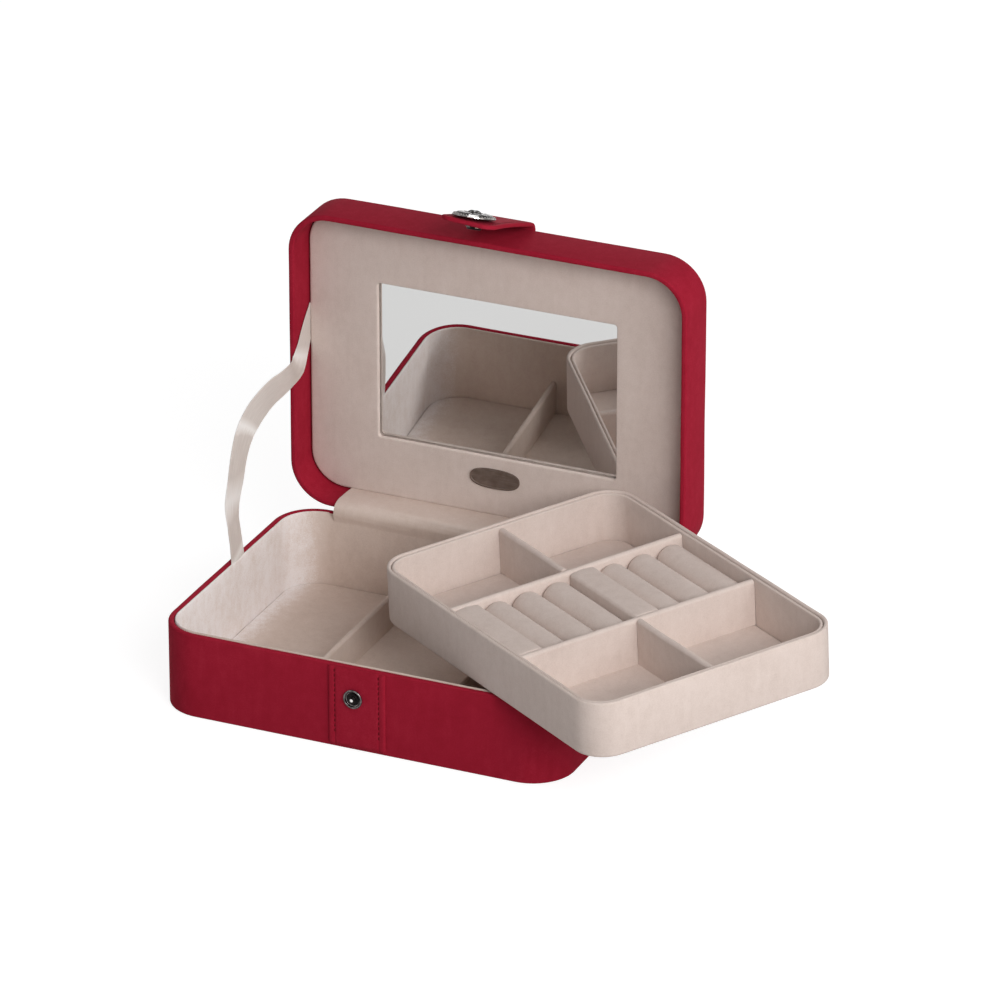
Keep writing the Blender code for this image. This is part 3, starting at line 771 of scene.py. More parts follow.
# stitches of a seam, each given by its place, the way it runs and the way it faces
def makeStitches(name, spots, body):
    startFresh()
    bpy.ops.mesh.primitive_uv_sphere_add(segments=8, ring_count=6, radius=1, location=(0, 0, 0))
    stitch = bpy.context.object
    bpy.ops.object.mode_set(mode="EDIT")
    thick = stitchSet["thick"]
    bpy.ops.transform.resize(value=(thick / 2, thick / 3, stitchSet["length"] / 2))
    bpy.ops.object.mode_set(mode="OBJECT")
    places = []
    for place, along, out in spots:
        turn = Matrix((along.cross(out).normalized(), out, along)).transposed().to_4x4()
        places.append(Matrix.Translation(place) @ turn @ Matrix.Rotation(0.12, 4, "Y"))
    piece = joinCopies(stitch, places)
    piece.name = name
    finishPiece(piece, redThread, angle=60)
    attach(piece, body)


def makeStrip():
    low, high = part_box("snap_strip")
    wallY = low.y + stripSet["thick"]
    bottomZ = low.z + stripSet["thick"]
    bend, half = stripSet["bend"], stripSet["half"]
    spots = []  # (wall point, outward normal)
    for step in range(25):
        spots.append((Vector((0, wallY, high.z - (high.z - bottomZ - bend) * step / 24)), Vector((0, -1, 0))))
    for step in range(1, 9):
        angle = math.radians(90 * step / 8)
        normal = Vector((0, -math.cos(angle), -math.sin(angle)))
        spots.append((Vector((0, wallY + bend, bottomZ + bend)) + normal * bend, normal))
    spots.append((Vector((0, high.y, bottomZ)), Vector((0, 0, -1))))
    places = [edge - half for edge in stripSet["edges"]]
    places += [0] + [-across for across in reversed(places)]
    rows = []
    for index, (spot, normal) in enumerate(spots):
        spot = spot + Vector((stripSet["middle"], 0, 0))
        top = 0.75 + 0.25 * min(1, index / 1.5)
        row = []
        for across in places:
            wave = noise.noise(Vector((across * 90, spot.z * 60, 1))) * stripSet["wave"]
            push = stripFace(across) * top + wave * min(1, index)
            row.append(spot + Vector((across, 0, 0)) + normal * push)
        row += [spot + Vector((side * (half - 0.00005), 0, 0)) for side in (1, -1)]
        rows.append(row)
    piece = skin("snap_strip_cover", rows)
    finishPiece(piece, redSuede, angle=50)
    standFor(piece, "base", "red_suede", "snap_strip")
    seam = half - stripSet["seamIn"]
    down, front = Vector((0, 0, -1)), Vector((0, -1, 0))
    for name, side in (("strip_stitches_left", -1), ("strip_stitches_right", 1)):
        spots = []
        for step in range(int((high.z - 0.006) / stitchSet["pitch"])):
            height = high.z - 0.0022 - step * stitchSet["pitch"]
            place = Vector((stripSet["middle"] + side * seam, wallY - stripFace(seam) - 0.00006, height))
            spots.append((place, down, front))
        makeStitches(name, spots, "base")


makeStrip()
print("front strip done")


# turned pieces: a profile of (radius, height) points spun round an upright axis, then put in place
def turnProfile(name, profile, steps, place):
    startFresh()
    mesh = bpy.data.meshes.new(name)
    mesh.from_pydata([(radius, 0, height) for radius, height in profile],
                     [(index, index + 1) for index in range(len(profile) - 1)], [])
    piece = newPiece(name, mesh)
    choose(piece)
    bpy.ops.object.mode_set(mode="EDIT")
    bpy.ops.mesh.select_all(action="SELECT")
    bpy.ops.mesh.spin(steps=steps, angle=math.tau, center=(0, 0, 0), axis=(0, 0, 1))
    bpy.ops.mesh.select_all(action="SELECT")
    bpy.ops.mesh.remove_doubles(threshold=0.000001)
    bpy.ops.object.mode_set(mode="OBJECT")
    piece.data.transform(place)
    return piece


def finePoints(points, cuts):
    return [(spot.x, spot.y) for spot in smoothPath(points, cuts)]


# another finish for the faces whose (radius, angle, height) about a turned piece's axis pass a test
def refinish(piece, place, material, test):
    piece.data.materials.append(material)
    index = len(piece.data.materials) - 1
    back = place.inverted()
    for face in piece.data.polygons:
        spot = back @ face.center
        if test(math.hypot(spot.x, spot.y), math.degrees(math.atan2(spot.y, spot.x)), spot.z):
            face.material_index = index


# the snap's stud on the strip: a rolled ring round a dished face, with the post in the middle
studSet = {"ring": 0.0048, "roll": 0.0010, "aside": 0.0008, "paintedShadeRecess": (0.0008, 0.0030), "tip": 0.0008}


def makeStud():
    low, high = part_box("snap_stud")
    place = quarterTurn(((low.x + high.x) / 2 + studSet["aside"], high.y, (low.z + high.z) / 2))
    ring, roll = studSet["ring"], studSet["roll"]
    profile = [(0, 0), (ring - 0.0006, 0), (ring - 0.0002, 0.0001)]
    for step in range(11):
        angle = math.radians(-60 + 230 * step / 10)
        out = ring - roll / 2 + roll / 2 * math.cos(angle)
        profile.append((out, roll * 0.55 + roll * 0.55 * math.sin(angle)))
    profile += [(ring - 0.0012, 0.0003), (ring - 0.0015, 0.00012), (0.0026, 0.0001), (0.0019, 0.00016),
                (0.0016, 0.0004)]
    post = [(0.0015, 0.0009), (0.00165, 0.0012), (0.00185, 0.00148), (0.00178, 0.0018), (0.0013, 0.00203),
            (0.0006, 0.0021), (0, 0.0021)]
    piece = turnProfile("snap_stud_turned", profile + finePoints(post, 4), 56, place)
    finishPiece(piece, gunmetal, angle=40)
    # painted shade: dark steel in the dish round the post; painted glint: bright steel on the post's tip
    inner, outer = studSet["paintedShadeRecess"]
    refinish(piece, place, darkSteel, lambda radius, angle, height: inner < radius < outer)
    refinish(piece, place, paintedGlintSteel,
             lambda radius, angle, height: radius < studSet["tip"] and height > 0.001)
    standFor(piece, "base", "gunmetal", "snap_stud")


makeStud()
print("stud done")

# cover cloth over the hinge at the back
spineSet = {
    "half": 0.0802,
    "thick": 0.0008,
    "columns": 36,
    # its inner face, as (back, up)
    "path": [(0.0763, 0.0268), (0.0763, 0.0300), (0.0763, 0.0340), (0.0763, 0.0380), (0.0764, 0.0415),
             (0.0770, 0.0432), (0.0781, 0.0441), (0.0799, 0.0444), (0.0828, 0.0445), (0.0863, 0.0445),
             (0.0922, 0.0445)],
}


def makeSpine():
    fine = smoothPath(spineSet["path"], 3)
    rows = []
    for index in range(spineSet["columns"] + 1):
        across = -spineSet["half"] + 2 * spineSet["half"] * index / spineSet["columns"]
        inner = []
        outer = []
        for step, spot in enumerate(fine):
            along = headingAt(fine, step)
            ends = min(1, min(step, len(fine) - 1 - step) / 3)
            wave = noise.noise(Vector((across * 40, step * 0.35, 9))) * 0.00015 * ends
            face = spot + Vector((along.y, -along.x)) * (spineSet["thick"] * (0.35 + 0.65 * ends) + wave)
            inner.append(Vector((across, *spot)))
            outer.append(Vector((across, *face)))
        rows.append(inner + list(reversed(outer)))
    piece = skin("hinge_spine_cloth", rows)
    finishPiece(piece, redSuede, angle=50)
    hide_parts("hinge_spine")
    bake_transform(piece)


makeSpine()
print("spine done")

# satin ribbon between the left walls; route as (x, y, z) and how many degrees its face turns there
ribbonSet = {
    "width": 0.013,
    "thick": 0.00032,
    "cup": 0.0002,
    "route": [
        (-0.0992, 0.00717, 0.04250, -1.0), (-0.0995, 0.00566, 0.05363, 2.4),
        (-0.1000, 0.00450, 0.06329, 2.8), (-0.1007, 0.00518, 0.07274, -6.8),
        (-0.1008, 0.00938, 0.08285, -9.9), (-0.1005, 0.01264, 0.09362, -12.1),
        (-0.1001, 0.01789, 0.10309, -16.6), (-0.0998, 0.02678, 0.10882, -16.8),
        (-0.0996, 0.03698, 0.11180, -12.1), (-0.0994, 0.04765, 0.11337, -7.0),
        (-0.0992, 0.05840, 0.11328, -1.2), (-0.0991, 0.06888, 0.11397, 0.8),
        (-0.0990, 0.07560, 0.11640, -8.5), (-0.0993, 0.08160, 0.12240, -2.0),
        (-0.0997, 0.08780, 0.13050, 1.5), (-0.0999, 0.09530, 0.13860, 4.5)],
    "cuts": 6,
    "across": 13,
    # its end lies glued between the lid's wall and the panel
    "endBack": 0.0962,
}


def makeRibbon():
    width, cuts, across = ribbonSet["width"], ribbonSet["cuts"], ribbonSet["across"]
    turns = [entry[3] for entry in ribbonSet["route"]]
    fine = smoothPath([entry[:3] for entry in ribbonSet["route"]], cuts)
    rows = []
    lengths = []
    length = 0
    for index, spot in enumerate(fine):
        if index:
            length += (spot - fine[index - 1]).length
        lengths.append(length)
        first = min(index // cuts, len(turns) - 1)
        share = index / cuts - first
        turn = turns[first] * (1 - share) + turns[min(first + 1, len(turns) - 1)] * share
        along = headingAt(fine, index)
        side = Vector((1, 0, 0)).cross(along).normalized()
        side = Matrix.Rotation(math.radians(turn), 3, along) @ side
        face = along.cross(side).normalized()
        row = []
        for step in range(across):
            offset = (step / (across - 1) - 0.5) * width
            point = spot + side * offset + face * (ribbonSet["cup"] * (1 - (2 * offset / width) ** 2))
            point.y = min(point.y, ribbonSet["endBack"])
            row.append(point)
        rows.append(row)
    piece = skin("ribbon_stay_satin", rows, ringed=False, capped=False)
    uvLayer = piece.data.uv_layers.new(name="UVMap")
    for loop in piece.data.loops:
        row, step = divmod(loop.vertex_index, across)
        uvLayer.data[loop.index].uv = (step / (across - 1), lengths[row] / width)
    choose(piece)
    solid = piece.modifiers.new("thickness", "SOLIDIFY")
    solid.thickness = ribbonSet["thick"]
    solid.offset = 0
    bpy.ops.object.modifier_apply(modifier=solid.name)
    finishPiece(piece, creamSatin, angle=50)
    print("ribbon length", round(length, 4))
    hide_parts("ribbon_stay")
    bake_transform(piece)


# the lid is shaped lying on its back, opening up, then stood on its hinge edge
lidSet = {"corner": 0.021, "wall": 0.0028, "rimRound": 0.0009, "foot": (0.0018, 8)}
lidLow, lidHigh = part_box("lid_shell")
lidLength, lidDepth, lidWidth = lidHigh - lidLow
lidStand = quarterTurn((0, lidHigh.y, (lidLow.z + lidHigh.z) / 2))


def makeLidCover():
    piece = openBox("lid_cover", lidLength, lidWidth, lidSet, 0, lidDepth, lidDepth - lidSet["wall"])
    waver(piece, coverWave, 30, 4.4)
    finishPiece(piece, redSuede, place=lidStand)
    standFor(piece, "lid", "red_suede", "lid_shell")


makeLidCover()
print("lid cover done")

# padded lining panel with the mirror's window
panelSet = {
    "outset": 0.0034,
    "face": 0.016,
    "back": 0.0206,
    "board": 0.0027,
    "edgeRound": 0.0014,
    "windowRound": 0.0007,
    "window": (0.1243, 0.0805),
    "windowCorner": 0.0016,
    "windowShift": -0.0014,
    "windowRise": 0.0742,
    "swell": 0.0003,
    "steps": 12,
}


def makeLidPanel():
    face = lidDepth - panelSet["face"]
    back = lidDepth - panelSet["back"]
    depth = face - panelSet["board"]
    steps = panelSet["steps"]
    windowMiddle = Vector((panelSet["windowShift"], panelSet["windowRise"] - lidWidth / 2, 0))

    def windowAt(grow, height):
        length, width = panelSet["window"]
        hole = outlinePoints(length + 2 * grow, width + 2 * grow, panelSet["windowCorner"] + grow, steps, 1)
        return [point + windowMiddle + Vector((0, 0, height)) for point in hole]

    def loopAt(share, inset, height):
        # from the panel's outline (share 0) to the window's (share 1), corner to corner
        inset += panelSet["outset"]
        outer = outlinePoints(lidLength - 2 * inset, lidWidth - 2 * inset, lidSet["corner"] - inset, steps, 1)
        rise = Vector((0, 0, height))
        return [outside.lerp(inside, share) + rise for outside, inside in zip(outer, windowAt(0, 0))]

    rows = [loopAt(0, 0, back)]
    edge = panelSet["edgeRound"]
    for step in range(7):
        angle = math.radians(90 * step / 6)
        rows.append(loopAt(0, edge * (1 - math.cos(angle)), face - edge + edge * math.sin(angle)))
    for share in (0.06, 0.14, 0.25, 0.4, 0.55, 0.7, 0.82, 0.92):
        rows.append(loopAt(share, edge, face + panelSet["swell"] * math.sin(math.pi * share) ** 0.8))
    edge = panelSet["windowRound"]
    for step in range(6):
        angle = math.radians(90 * step / 5)
        rows.append(windowAt(edge * (1 - math.sin(angle)), face - edge + edge * math.cos(angle)))
    # the board stops short of the glass, which leaves a thin dark gap
    for grow, height in ((0, 0.0008), (0.0001, 0.0007), (0.0008, 0.0006), (0.0008, 0), (0.0053, 0)):
        rows.append(windowAt(grow, depth + height))
    rows.append(windowAt(0.0053, back))
    piece = skin("lid_lining_panel", rows, tube=True, capped=False)
    finishPiece(piece, creamSuede, angle=40, place=lidStand)
    standFor(piece, "lid", "cream_suede", "lid_panel")


makeLidPanel()
print("lid panel done")
makeRibbon()
print("ribbon done")

# oval plate with blunt ends, left bare, with a raised rim
plateSet = {"length": 0.0258, "width": 0.0102, "thick": 0.0008, "rim": 0.0007, "aside": -0.0020,
            "blunt": 0.78}


def makePlate():
    low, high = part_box("name_plate")
    startFresh()
    bpy.ops.mesh.primitive_cylinder_add(vertices=96, radius=1, depth=1, location=(0, 0, 0))
    piece = bpy.context.object
    piece.name = "name_plate_bare"
    for vert in piece.data.vertices:
        for axis in (0, 1):
            vert.co[axis] = math.copysign(abs(vert.co[axis]) ** plateSet["blunt"], vert.co[axis])
    bpy.ops.object.mode_set(mode="EDIT")
    bpy.ops.transform.resize(value=(plateSet["length"] / 2, plateSet["width"] / 2, plateSet["thick"]))
    pickFaces(lambda centre, normal: normal.z > 0.9)
    bpy.ops.mesh.inset(thickness=plateSet["rim"], depth=0)
    bpy.ops.mesh.inset(thickness=0.0002, depth=-0.00025)
    softenAt(plateSet["thick"] / 2, 0.00012, 3)
    place = quarterTurn((low + high) / 2 + Vector((plateSet["aside"], 0, 0)))
    finishPiece(piece, plateBronze, place=place, angle=40)
    standFor(piece, "lid", "plate_bronze", "name_plate")


makePlate()
print("plate done")

# the closing tab: a strap glued to the lid's top and folded over its front edge, with the snap near its end
tabSet = {
    "axis": (0.09823350, 0.19973431),
    "turn": -111,
    "half": 0.014,
    "root": 0.001,
    "edge": 0.0007,
    "reach": 0.040,
    "seamIn": 0.0026,
    "seamDip": 0.00016,
    "tip": 0.0508,
    "corner": 0.0068,
    "stiff": 0.012,
    "droop": 0.0011,
    "twist": 0.0009,
    "foldBack": 0.0968,
    "foldUp": 0.196,
    "foldRadius": 0.004,
    "gluedEnd": 0.166,
    # places where the face is shaped, in from either edge
    "edges": [0.0, 0.00006, 0.0002, 0.00042, 0.0007, 0.001, 0.0014, 0.0018, 0.0021, 0.0024, 0.0026,
              0.0028, 0.0031, 0.0036, 0.0045, 0.007, 0.0105],
}
tabPlace = quarterTurn((0, *tabSet["axis"]), tabSet["turn"])
seamAcross = tabSet["half"] - tabSet["seamIn"]


def strapSwell(edge):
    # height of a strap's face over its middle plane, by the distance in from its edge
    soft = tabSet["edge"]
    face = tabSet["root"] - soft + math.sqrt(max(soft ** 2 - max(soft - edge, 0) ** 2, 0))
    puff = 0.00012 * math.exp(-((edge - 0.0014) / 0.0006) ** 2)
    dip = tabSet["seamDip"] * math.exp(-((edge - tabSet["seamIn"]) / 0.0004) ** 2)
    return face + puff - dip


def tabDroop(across, height):
    # the free end hangs lower than the stiff part under the snap, more so on its right
    free = min(max((-height - tabSet["stiff"]) / (tabSet["tip"] - tabSet["stiff"]), 0), 1)
    return free ** 2 * (tabSet["droop"] + tabSet["twist"] * across / tabSet["half"])


def makeTab():
    edges = tabSet["edges"] + [0.0138]
    steps = 14
    tip, corner = tabSet["tip"], tabSet["corner"]

    def loopAt(edge, push):
        half = tabSet["half"] - edge
        end = edge - tip
        bend = max(corner - edge, 0.0001)
        top = math.sqrt(max(tabSet["root"] ** 2 - push ** 2, 0)) - edge * 0.2
        side = [(half, top * (1 - share) - (tip - corner) * share)
                for share in (0, 0.02, 0.1, 0.2, 0.3, 0.4, 0.5, 0.6, 0.7, 0.8, 0.9)]
        for step in range(steps + 1):
            angle = math.pi / 2 * step / steps
            side.append((half - bend + bend * math.cos(angle), end + bend - bend * math.sin(angle)))
        side.append(((half - bend) * 0.5, end))
        loop = [(-across, height) for across, height in side] + [(0, end)] + list(reversed(side))
        return [Vector((across, push + tabDroop(across, height), height)) for across, height in loop]

    rows = [loopAt(edge, -strapSwell(edge)) for edge in reversed(edges)]
    rows += [loopAt(edge, strapSwell(edge)) for edge in edges]
    piece = skin("closure_strap", rows)
    finishPiece(piece, redSuede, angle=50, place=tabPlace)
    standFor(piece, "tab", "red_suede", "closure_tab")

    # the seam, as (across, up) on the strap: down one side, along the end and up the other side
    corner -= tabSet["seamIn"]
    end = tip - tabSet["seamIn"]
    route = []
    for start, stop in (((-seamAcross, -0.003), (-seamAcross, corner - end)),
                        ((corner - seamAcross, -end), (seamAcross - corner, -end)),
                        ((seamAcross, corner - end), (seamAcross, -0.003))):
        start, stop = Vector(start), Vector(stop)
        along = (stop - start).normalized()
        count = int((stop - start).length / stitchSet["pitch"])
        route += [(start.lerp(stop, (step + 0.5) / count), along) for step in range(count)]
    for side in (-1, 1):
        for angle in (math.radians(22), math.radians(68)):
            place = Vector((side * (seamAcross - corner + corner * math.cos(angle)),
                            corner - end - corner * math.sin(angle)))
            route.append((place, Vector((-side * math.sin(angle), -math.cos(angle)))))
    spots = []
    turn = tabPlace.to_3x3()
    for face in (-1, 1):
        push = strapSwell(tabSet["seamIn"]) * face
        for place, along in route:
            spot = tabPlace @ Vector((place.x, push + tabDroop(place.x, place.y), place.y))
            spots.append((spot, turn @ Vector((along.x, 0, along.y)), turn @ Vector((0, face, 0))))
    makeStitches("strap_stitches", spots, "tab")


def makeAnchor():
    radius, half = tabSet["foldRadius"], tabSet["half"]
    foldBack, foldUp, gluedEnd = tabSet["foldBack"], tabSet["foldUp"], tabSet["gluedEnd"]
    flat = foldBack + radius
    spots = []
    for step in range(13):
        height = gluedEnd + (foldUp - gluedEnd) * step / 12
        spots.append((Vector((0, flat, height)), Vector((0, 1, 0))))
    for step in range(1, 9):
        angle = math.radians(54 * step / 8)
        normal = Vector((0, math.cos(angle), math.sin(angle)))
        spots.append((Vector((0, foldBack, foldUp)) + normal * radius, normal))
    edges = tabSet["edges"] + [half]
    # across and over a section, as (side, distance in from that edge, which face)
    section = [(-1, edge, 1) for edge in edges] + [(1, edge, 1) for edge in reversed(edges[:-1])]
    section += [(1, edge, -1) for edge in (0.00006, 0.0007, 0.007)]
    section += [(-1, edge, -1) for edge in (0.007, 0.0007, 0.00006)]
    rows = []
    for index, (spot, normal) in enumerate(spots):
        thin = 1 if index else 0.45
        rows.append([spot + Vector((side * (half - edge), 0, 0)) + normal * strapSwell(edge) * thin * face
                     for side, edge, face in section])
    piece = skin("strap_anchor", rows)
    finishPiece(piece, redSuede, angle=50)
    standFor(piece, "lid", "red_suede", "tab_anchor")
    spots = []
    for step in range(11):
        height = foldUp - 0.001 - step * stitchSet["pitch"]
        for side in (-1, 1):
            place = Vector((side * seamAcross, flat + strapSwell(tabSet["seamIn"]), height))
            spots.append((place, Vector((0, 0, -1)), Vector((0, 1, 0))))
    makeStitches("anchor_stitches", spots, "lid")


makeTab()
makeAnchor()
print("tab done")

# ornate cap: a dished disc with a ring of petals, a beaded edge and a boss
capSet = {
    "radius": 0.0105,
    "seat": 0.0013,
    "petals": 12,
    "relief": 0.00062,
    "beads": 40,
    "beadRadius": 0.00052,
    "beadRing": 0.915,
    "beadRise": 0.00105,
    "paintedGlintArc": (-84, -55),
    # profiles as (share of the radius, height)
    "rim": [(0.8, 0), (0.97, 0.0001), (1, 0.0004), (0.995, 0.00075), (0.97, 0.00095)],
    "bowl": [(0.93, 0.0010), (0.87, 0.00115), (0.84, 0.0016), (0.76, 0.0021), (0.66, 0.0023), (0.55, 0.0022),
             (0.45, 0.0019), (0.4, 0.0017), (0.37, 0.0018), (0.34, 0.0024), (0.27, 0.0029), (0.15, 0.0033),
             (0, 0.0034)],
}


def makeCap():
    radius = capSet["radius"]
    place = tabPlace @ quarterTurn((0, -capSet["seat"], -tabSet["reach"]))
    rim, bowl = ([(radius * share, height) for share, height in capSet[key]] for key in ("rim", "bowl"))
    piece = turnProfile("ornate_cap", rim + finePoints(bowl, 3), 144, Matrix.Identity(4))
    for vert in piece.data.vertices:
        share = math.hypot(vert.co.x, vert.co.y) / radius
        angle = math.atan2(vert.co.y, vert.co.x)
        if 0.42 < share < 0.88 and vert.co.z > 0.001:
            band = math.sin(math.pi * (share - 0.42) / 0.46)
            leaf = abs(math.cos(capSet["petals"] / 2 * angle))
            vein = math.exp(-((leaf - 1) / 0.02) ** 2) * 0.3
            vert.co.z += capSet["relief"] * band * (leaf ** 0.5 - 0.75 - vein)
        elif 0.05 < share < 0.33:
            vert.co.z += 0.00022 * math.cos(8 * angle) * math.sin(math.pi * share / 0.33)
    out = radius * capSet["beadRing"]
    places = []
    for step in range(capSet["beads"]):
        angle = math.tau * step / capSet["beads"]
        places.append(Matrix.Translation((out * math.cos(angle), out * math.sin(angle), capSet["beadRise"])))
    startFresh()
    bpy.ops.mesh.primitive_uv_sphere_add(segments=10, ring_count=6, radius=capSet["beadRadius"],
                                         location=(0, 0, 0))
    piece = joinCopies(bpy.context.object, places, [piece])
    finishPiece(piece, antiqueSilver, angle=40, place=place)
    # painted glint: bright steel on a short arc of its front edge
    start, end = capSet["paintedGlintArc"]
    refinish(piece, place, paintedGlintSteel,
             lambda out, angle, height: out > radius * 0.82 and start < angle < end)
    standFor(piece, "tab", "antique_silver", "snap_cap")


# the snap's upper half, under the strap: dark steel, with a painted glint and a painted lighter patch on two
# parts of its side
socketSet = {
    "seat": 0.0013,
    "side": 0.0038,
    "paintedLight": (40, 62),
    "paintedLitSide": (95, 150),
    "profile": [(0, 0.0001), (0.0024, 0.0001), (0.0038, 0), (0.0042, 0.00015), (0.0044, 0.0006),
                (0.00437, 0.0014), (0.0042, 0.0018), (0.0037, 0.0021), (0.0035, 0.0025), (0.0034, 0.0028),
                (0.0031, 0.0029), (0.0028, 0.0027), (0.0026, 0.0022), (0.0026, 0.0004), (0, 0.0004)],
}


def makeSocket():
    place = tabPlace @ quarterTurn((studSet["aside"], socketSet["seat"], -tabSet["reach"]), -90)
    piece = turnProfile("snap_socket_turned", socketSet["profile"], 48, place)
    finishPiece(piece, darkSteel, angle=40)
    for material, (start, end) in ((paintedGlintSteel, socketSet["paintedLight"]), (gunmetal, socketSet["paintedLitSide"])):
        refinish(piece, place, material,
                 lambda radius, angle, height: radius > socketSet["side"] and start < angle < end)
    standFor(piece, "tab", "gunmetal", "snap_socket")


makeCap()
makeSocket()
print("snap done")

# ring tray, shaped level about the middle of its underside, then laid askew on the box
traySet = {
    "place": (0.1027, -0.0170, 0.047130954),
    "turn": (2.087457656, -1.75, -33.4),
    "length": 0.186,
    "width": 0.136,
    "height": 0.028,
    "corner": 0.0155,
    "wall": 0.0019,
    "floor": 0.0018,
    "rimRound": 0.0008,
    "foot": (0.0016, 5),
    "lining": (0.0023, 0.0039),
    "liningHeights": (0.0021, 0.0275),
    "padTop": 0.0033,
    # half of what is left inside, less a little room
    "halfLength": 0.0888,
    "halfWidth": 0.0638,
    "room": 0.0003,
    "dividerTop": 0.0266,
    "dividerThick": 0.0034,
    "rearDivider": -0.033,
    "frontDivider": 0.027,
}
trayTurn = Euler([math.radians(angle) for angle in traySet["turn"]], "ZYX").to_matrix().to_4x4()
trayPlace = Matrix.Translation(traySet["place"]) @ trayTurn
halfLength, halfWidth = traySet["halfLength"], traySet["halfWidth"]


def makeTrayShell():
    height = traySet["height"]
    piece = openBox("tray_outer", traySet["length"], traySet["width"], traySet, 0, height,
                    height - traySet["floor"])
    waver(piece, 0.00016, 35, 8.8, cuts=20, keepLow=0.002)
    finishPiece(piece, creamSuede, place=trayPlace)
    standFor(piece, "tray", "cream_suede", "tray_shell")


def makeTrayLining():
    outer, inner = traySet["lining"]
    bottom, top = traySet["liningHeights"]
    piece = roundedBox("tray_inner", traySet["length"] - 2 * outer, traySet["width"] - 2 * outer,
                       traySet["corner"] - outer, bottom, top, steps=12)
    for end, up in ((top, 1), (bottom, -1)):
        pickFaces(lambda centre, normal: normal.z * up > 0.9 and abs(centre.z - end) < 1e-5)
        bpy.ops.mesh.inset(thickness=inner - outer, depth=0)
    pickFaces(lambda centre, normal: abs(normal.z) > 0.9 and math.hypot(centre.x, centre.y) < 0.01)
    bpy.ops.mesh.bridge_edge_loops()
    softenAt(top, (inner - outer) * 0.49, 4)
    waver(piece, 0.00012, 40, 2.9, cuts=20, keepLow=0.006)
    finishPiece(piece, creamSuede, place=trayPlace)
    standFor(piece, "tray", "cream_suede", "tray_wall_lining")


makeTrayShell()
makeTrayLining()
makeFloorPad("tray_floor_pad", "tray_floor_cushion", 0.0113, "tray", creamSuede,
             (2 * halfLength, 2 * halfWidth), (traySet["liningHeights"][0], traySet["padTop"]),
             place=trayPlace)
print("tray body done")

boardBottom = traySet["padTop"] + traySet["room"]
halfBoard = traySet["dividerThick"] / 2 + traySet["room"]
rear, front = traySet["rearDivider"], traySet["frontDivider"]
for node, name, axis, reach, across, seed in (
        ("tray_cross_divider_rear", "tray_board_rear", 1, (-halfWidth, halfWidth), rear, 3.1),
        ("tray_cross_divider_front", "tray_board_front", 1, (-halfWidth, halfWidth), front, 6.4),
        ("tray_bay_divider_rear", "tray_bay_board_rear", 0, (-halfLength, rear - halfBoard), 0, 7.7),
        ("tray_bay_divider_front", "tray_bay_board_front", 0, (front + halfBoard, halfLength), 0, 9.2)):
    makeBoard(node, name, "tray", axis, reach, traySet["dividerThick"], across,
              (boardBottom, traySet["dividerTop"]), creamSuede, seed, place=trayPlace)
print("tray dividers done")

# ring bank: foam rolls covered in suede, with slits between them for rings, and flat pads beside them
bankSet = {
    "start": -0.0313,
    "end": 0.0253,
    "padWidth": 0.0142,
    "padTop": 0.0258,
    "rollTop": 0.0244,
    "gap": 0.0005,
    "rollEnd": 0.0022,
    "padEnd": 0.0016,
    "padEdge": 0.0018,
}
bankSet["pitch"] = (2 * halfWidth - 2 * bankSet["padWidth"]) / 6


# a cushion along X from sections that shrink to soft ends; section gives (y, z) points
def makeCushion(node, name, section, slack, soft):
    start, end = bankSet["start"] + slack, bankSet["end"] - slack
    places = []
    for share in (0, 0.1, 0.25, 0.45, 0.7, 1):
        places.append((start + soft * share, soft * (1 - math.sqrt(1 - (1 - share) ** 2))))
    middle = [(start + soft + (end - start - 2 * soft) * step / 14, 0) for step in range(1, 14)]
    closing = [(end - (place - start), shrink) for place, shrink in reversed(places)]
    rows = []
    for place, shrink in places + middle + closing:
        rows.append([Vector((place, *point)) for point in section(place, shrink)])
    piece = skin(name, rows)
    finishPiece(piece, creamSuede, angle=60, place=trayPlace)
    standFor(piece, "tray", "cream_suede", node)


def makeRoll(number, middle):
    seed = number * 3.7

    def section(place, shrink):
        sag = noise.noise(Vector((place * 30, seed, 0.3))) * 0.00025
        sway = noise.noise(Vector((place * 24, seed, 5.3))) * 0.0002
        radius = (bankSet["pitch"] - bankSet["gap"]) / 2 - shrink
        top = bankSet["rollTop"] - shrink * 1.2 + sag
        # how the side rises to the round top, as (share of the radius, height)
        side = [(0.97, 0), (1, 0.003), (1, 0.008)]
        loop = [(middle - radius * share, boardBottom + height) for share, height in side]
        for step in range(25):
            angle = math.pi * step / 24
            height = top - radius + radius * math.sin(angle) ** 0.92
            loop.append((middle + sway - radius * math.cos(angle), height))
        return loop + [(middle + radius * share, boardBottom + height) for share, height in reversed(side)]

    makeCushion(f"ring_roll_{number}", f"ring_cushion_{number}", section, 0.0004, bankSet["rollEnd"])


def makePad(node, name, start, seed):
    edge, gap = bankSet["padEdge"], bankSet["gap"] / 2

    def section(place, shrink):
        left, right = start + gap + shrink * 0.4, start + bankSet["padWidth"] - gap - shrink * 0.4
        top = bankSet["padTop"] - shrink * 0.8 + noise.noise(Vector((place * 30, seed, 1))) * 0.0002
        # both rounded edges as (in from the side, up)
        rounding = []
        for step in range(7):
            angle = math.pi / 2 * step / 6
            rounding.append((edge * (1 - math.cos(angle)), top - edge + edge * math.sin(angle)))
        loop = [(left, boardBottom), (left, boardBottom + 0.01)]
        loop += [(left + aside, height) for aside, height in rounding]
        for share in (step / 6 for step in range(1, 6)):
            across = left + edge + (right - left - 2 * edge) * share
            loop.append((across, top + 0.0004 * math.sin(math.pi * share)))
        loop += [(right - aside, height) for aside, height in reversed(rounding)]
        return loop + [(right, boardBottom + 0.01), (right, boardBottom)]

    makeCushion(node, name, section, 0.0002, bankSet["padEnd"])


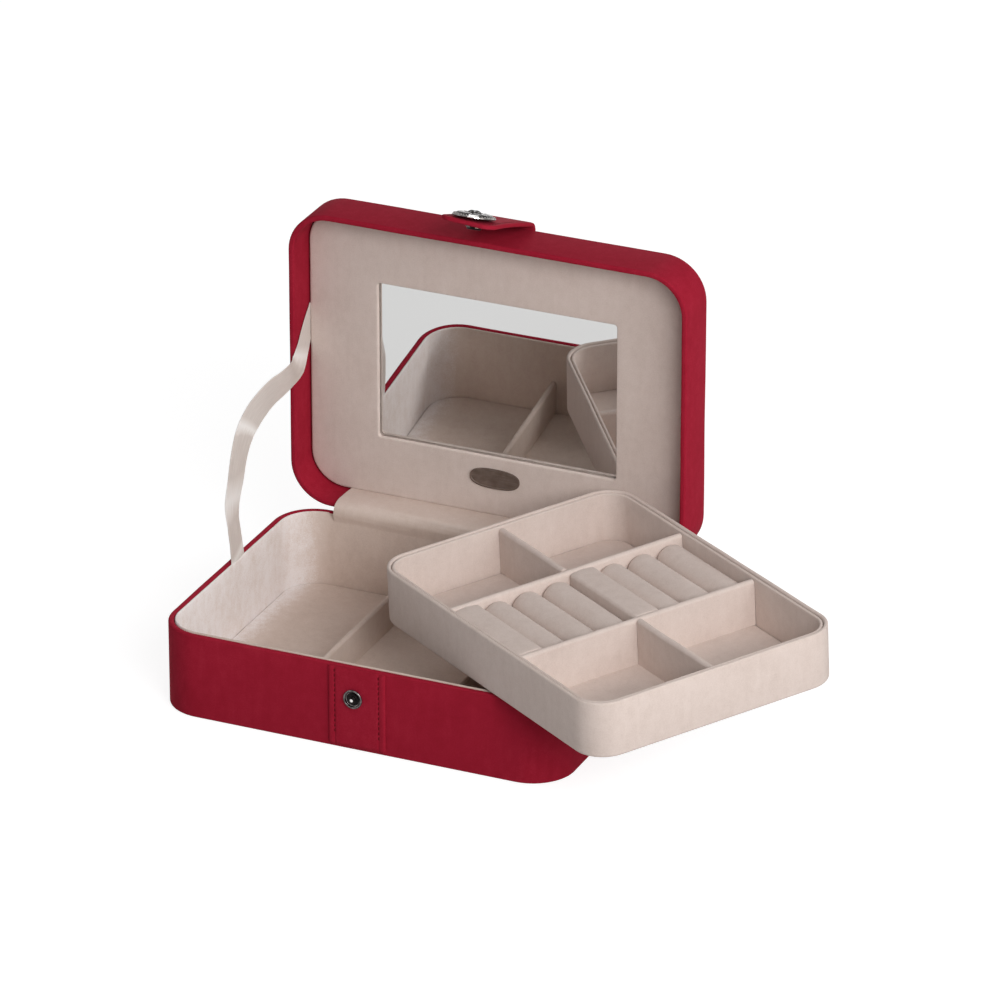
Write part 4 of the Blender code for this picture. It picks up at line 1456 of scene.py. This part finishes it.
group = 3 * bankSet["pitch"]
for bank in range(2):
    first = -halfWidth + (bank + 1) * bankSet["padWidth"] + bank * group
    for place in range(3):
        makeRoll(bank * 3 + place + 1, first + (place + 0.5) * bankSet["pitch"])
makePad("ring_pad_side", "ring_flat_side", -halfWidth, 1.5)
makePad("ring_pad_middle", "ring_flat_middle", -halfWidth + bankSet["padWidth"] + group, 4.5)
print("ring bank done")

# CAD solids that show as they are
for node, material in (("mirror_glass", silveredGlass), ("mirror_backing", greyBoard),
                       ("base_underside_cover", darkFelt)):
    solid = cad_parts[node]
    solid.data.materials.clear()
    solid.data.materials.append(material)

# floor and light: one large soft light from the right, weaker light from all round
lightSet = {
    "ambient": 0.13,
    "paper": 0.62,
    "paperSeen": 0.34,
    "paperGlow": 0.75,
    "paperBright": 0.09,
    "lampSize": 0.8,
    "lampDistance": 1.6,
    "aim": (0.03, 0, 0.08),
    # azimuth, elevation, power
    "lamps": {
        "key": (41, 30, 14.1),
        "side": (68, 25, 6.7),
        "rim": (115, 25, 3.1),
        "left": (-80, 30, 2.0),
        "top": (0, 86, 1.5),
        "back": (195, 18, 4.5),
    },
}


# 1 for rays from the camera, and for those that it sees through a mirror or glass
def seenDirectly(tap):
    rays = tap.node("ShaderNodeLightPath")
    seen = rays
    for out in ("Is Glossy Ray", "Is Transmission Ray"):
        seen = tap.maths("MAXIMUM", seen, rays.beside(out))
    return rays, seen


def makeStage():
    bpy.ops.mesh.primitive_plane_add(size=14, location=(0, 0, -0.0002))
    floor = bpy.context.object
    floor.name = "studioFloor"
    material, tap = newMaterial("studioPaper")
    rays, seen = seenDirectly(tap)
    floor.data.materials.append(paint(material, {
        "Base Color": seen.mixed([lightSet["paper"]] * 3, [lightSet["paperSeen"]] * 3),
        "Roughness": 0.95,
        "Specular IOR Level": 0.1,
        "Emission Color": (1, 1, 1, 1),
        "Emission Strength": seen * lightSet["paperGlow"] + rays * lightSet["paperBright"],
    }))
    world = bpy.data.worlds.new("studioWorld")
    bpy.context.scene.world = world
    world.use_nodes = True
    tap = Tap(world)
    rays, seen = seenDirectly(tap)
    level = tap.node("ShaderNodeMapRange", {0: seen, 1: 0, 2: 1, 3: lightSet["ambient"], 4: 1})
    feed(world, world.node_tree.nodes["Background"], {"Color": (1, 1, 1, 1), "Strength": level})
    for name, (azimuth, elevation, power) in lightSet["lamps"].items():
        away = towards(azimuth, elevation)
        spot = Vector(lightSet["aim"]) + away * lightSet["lampDistance"]
        bpy.ops.object.light_add(type="AREA", location=spot)
        lamp = bpy.context.object
        lamp.name = name + "Lamp"
        lamp.data.shape = "DISK"
        lamp.data.size = lightSet["lampSize"]
        lamp.data.energy = power
        turnAway(lamp, away)


startFresh()
makeStage()
bpy.context.scene.view_settings.view_transform = "Standard"
print("stage lit")
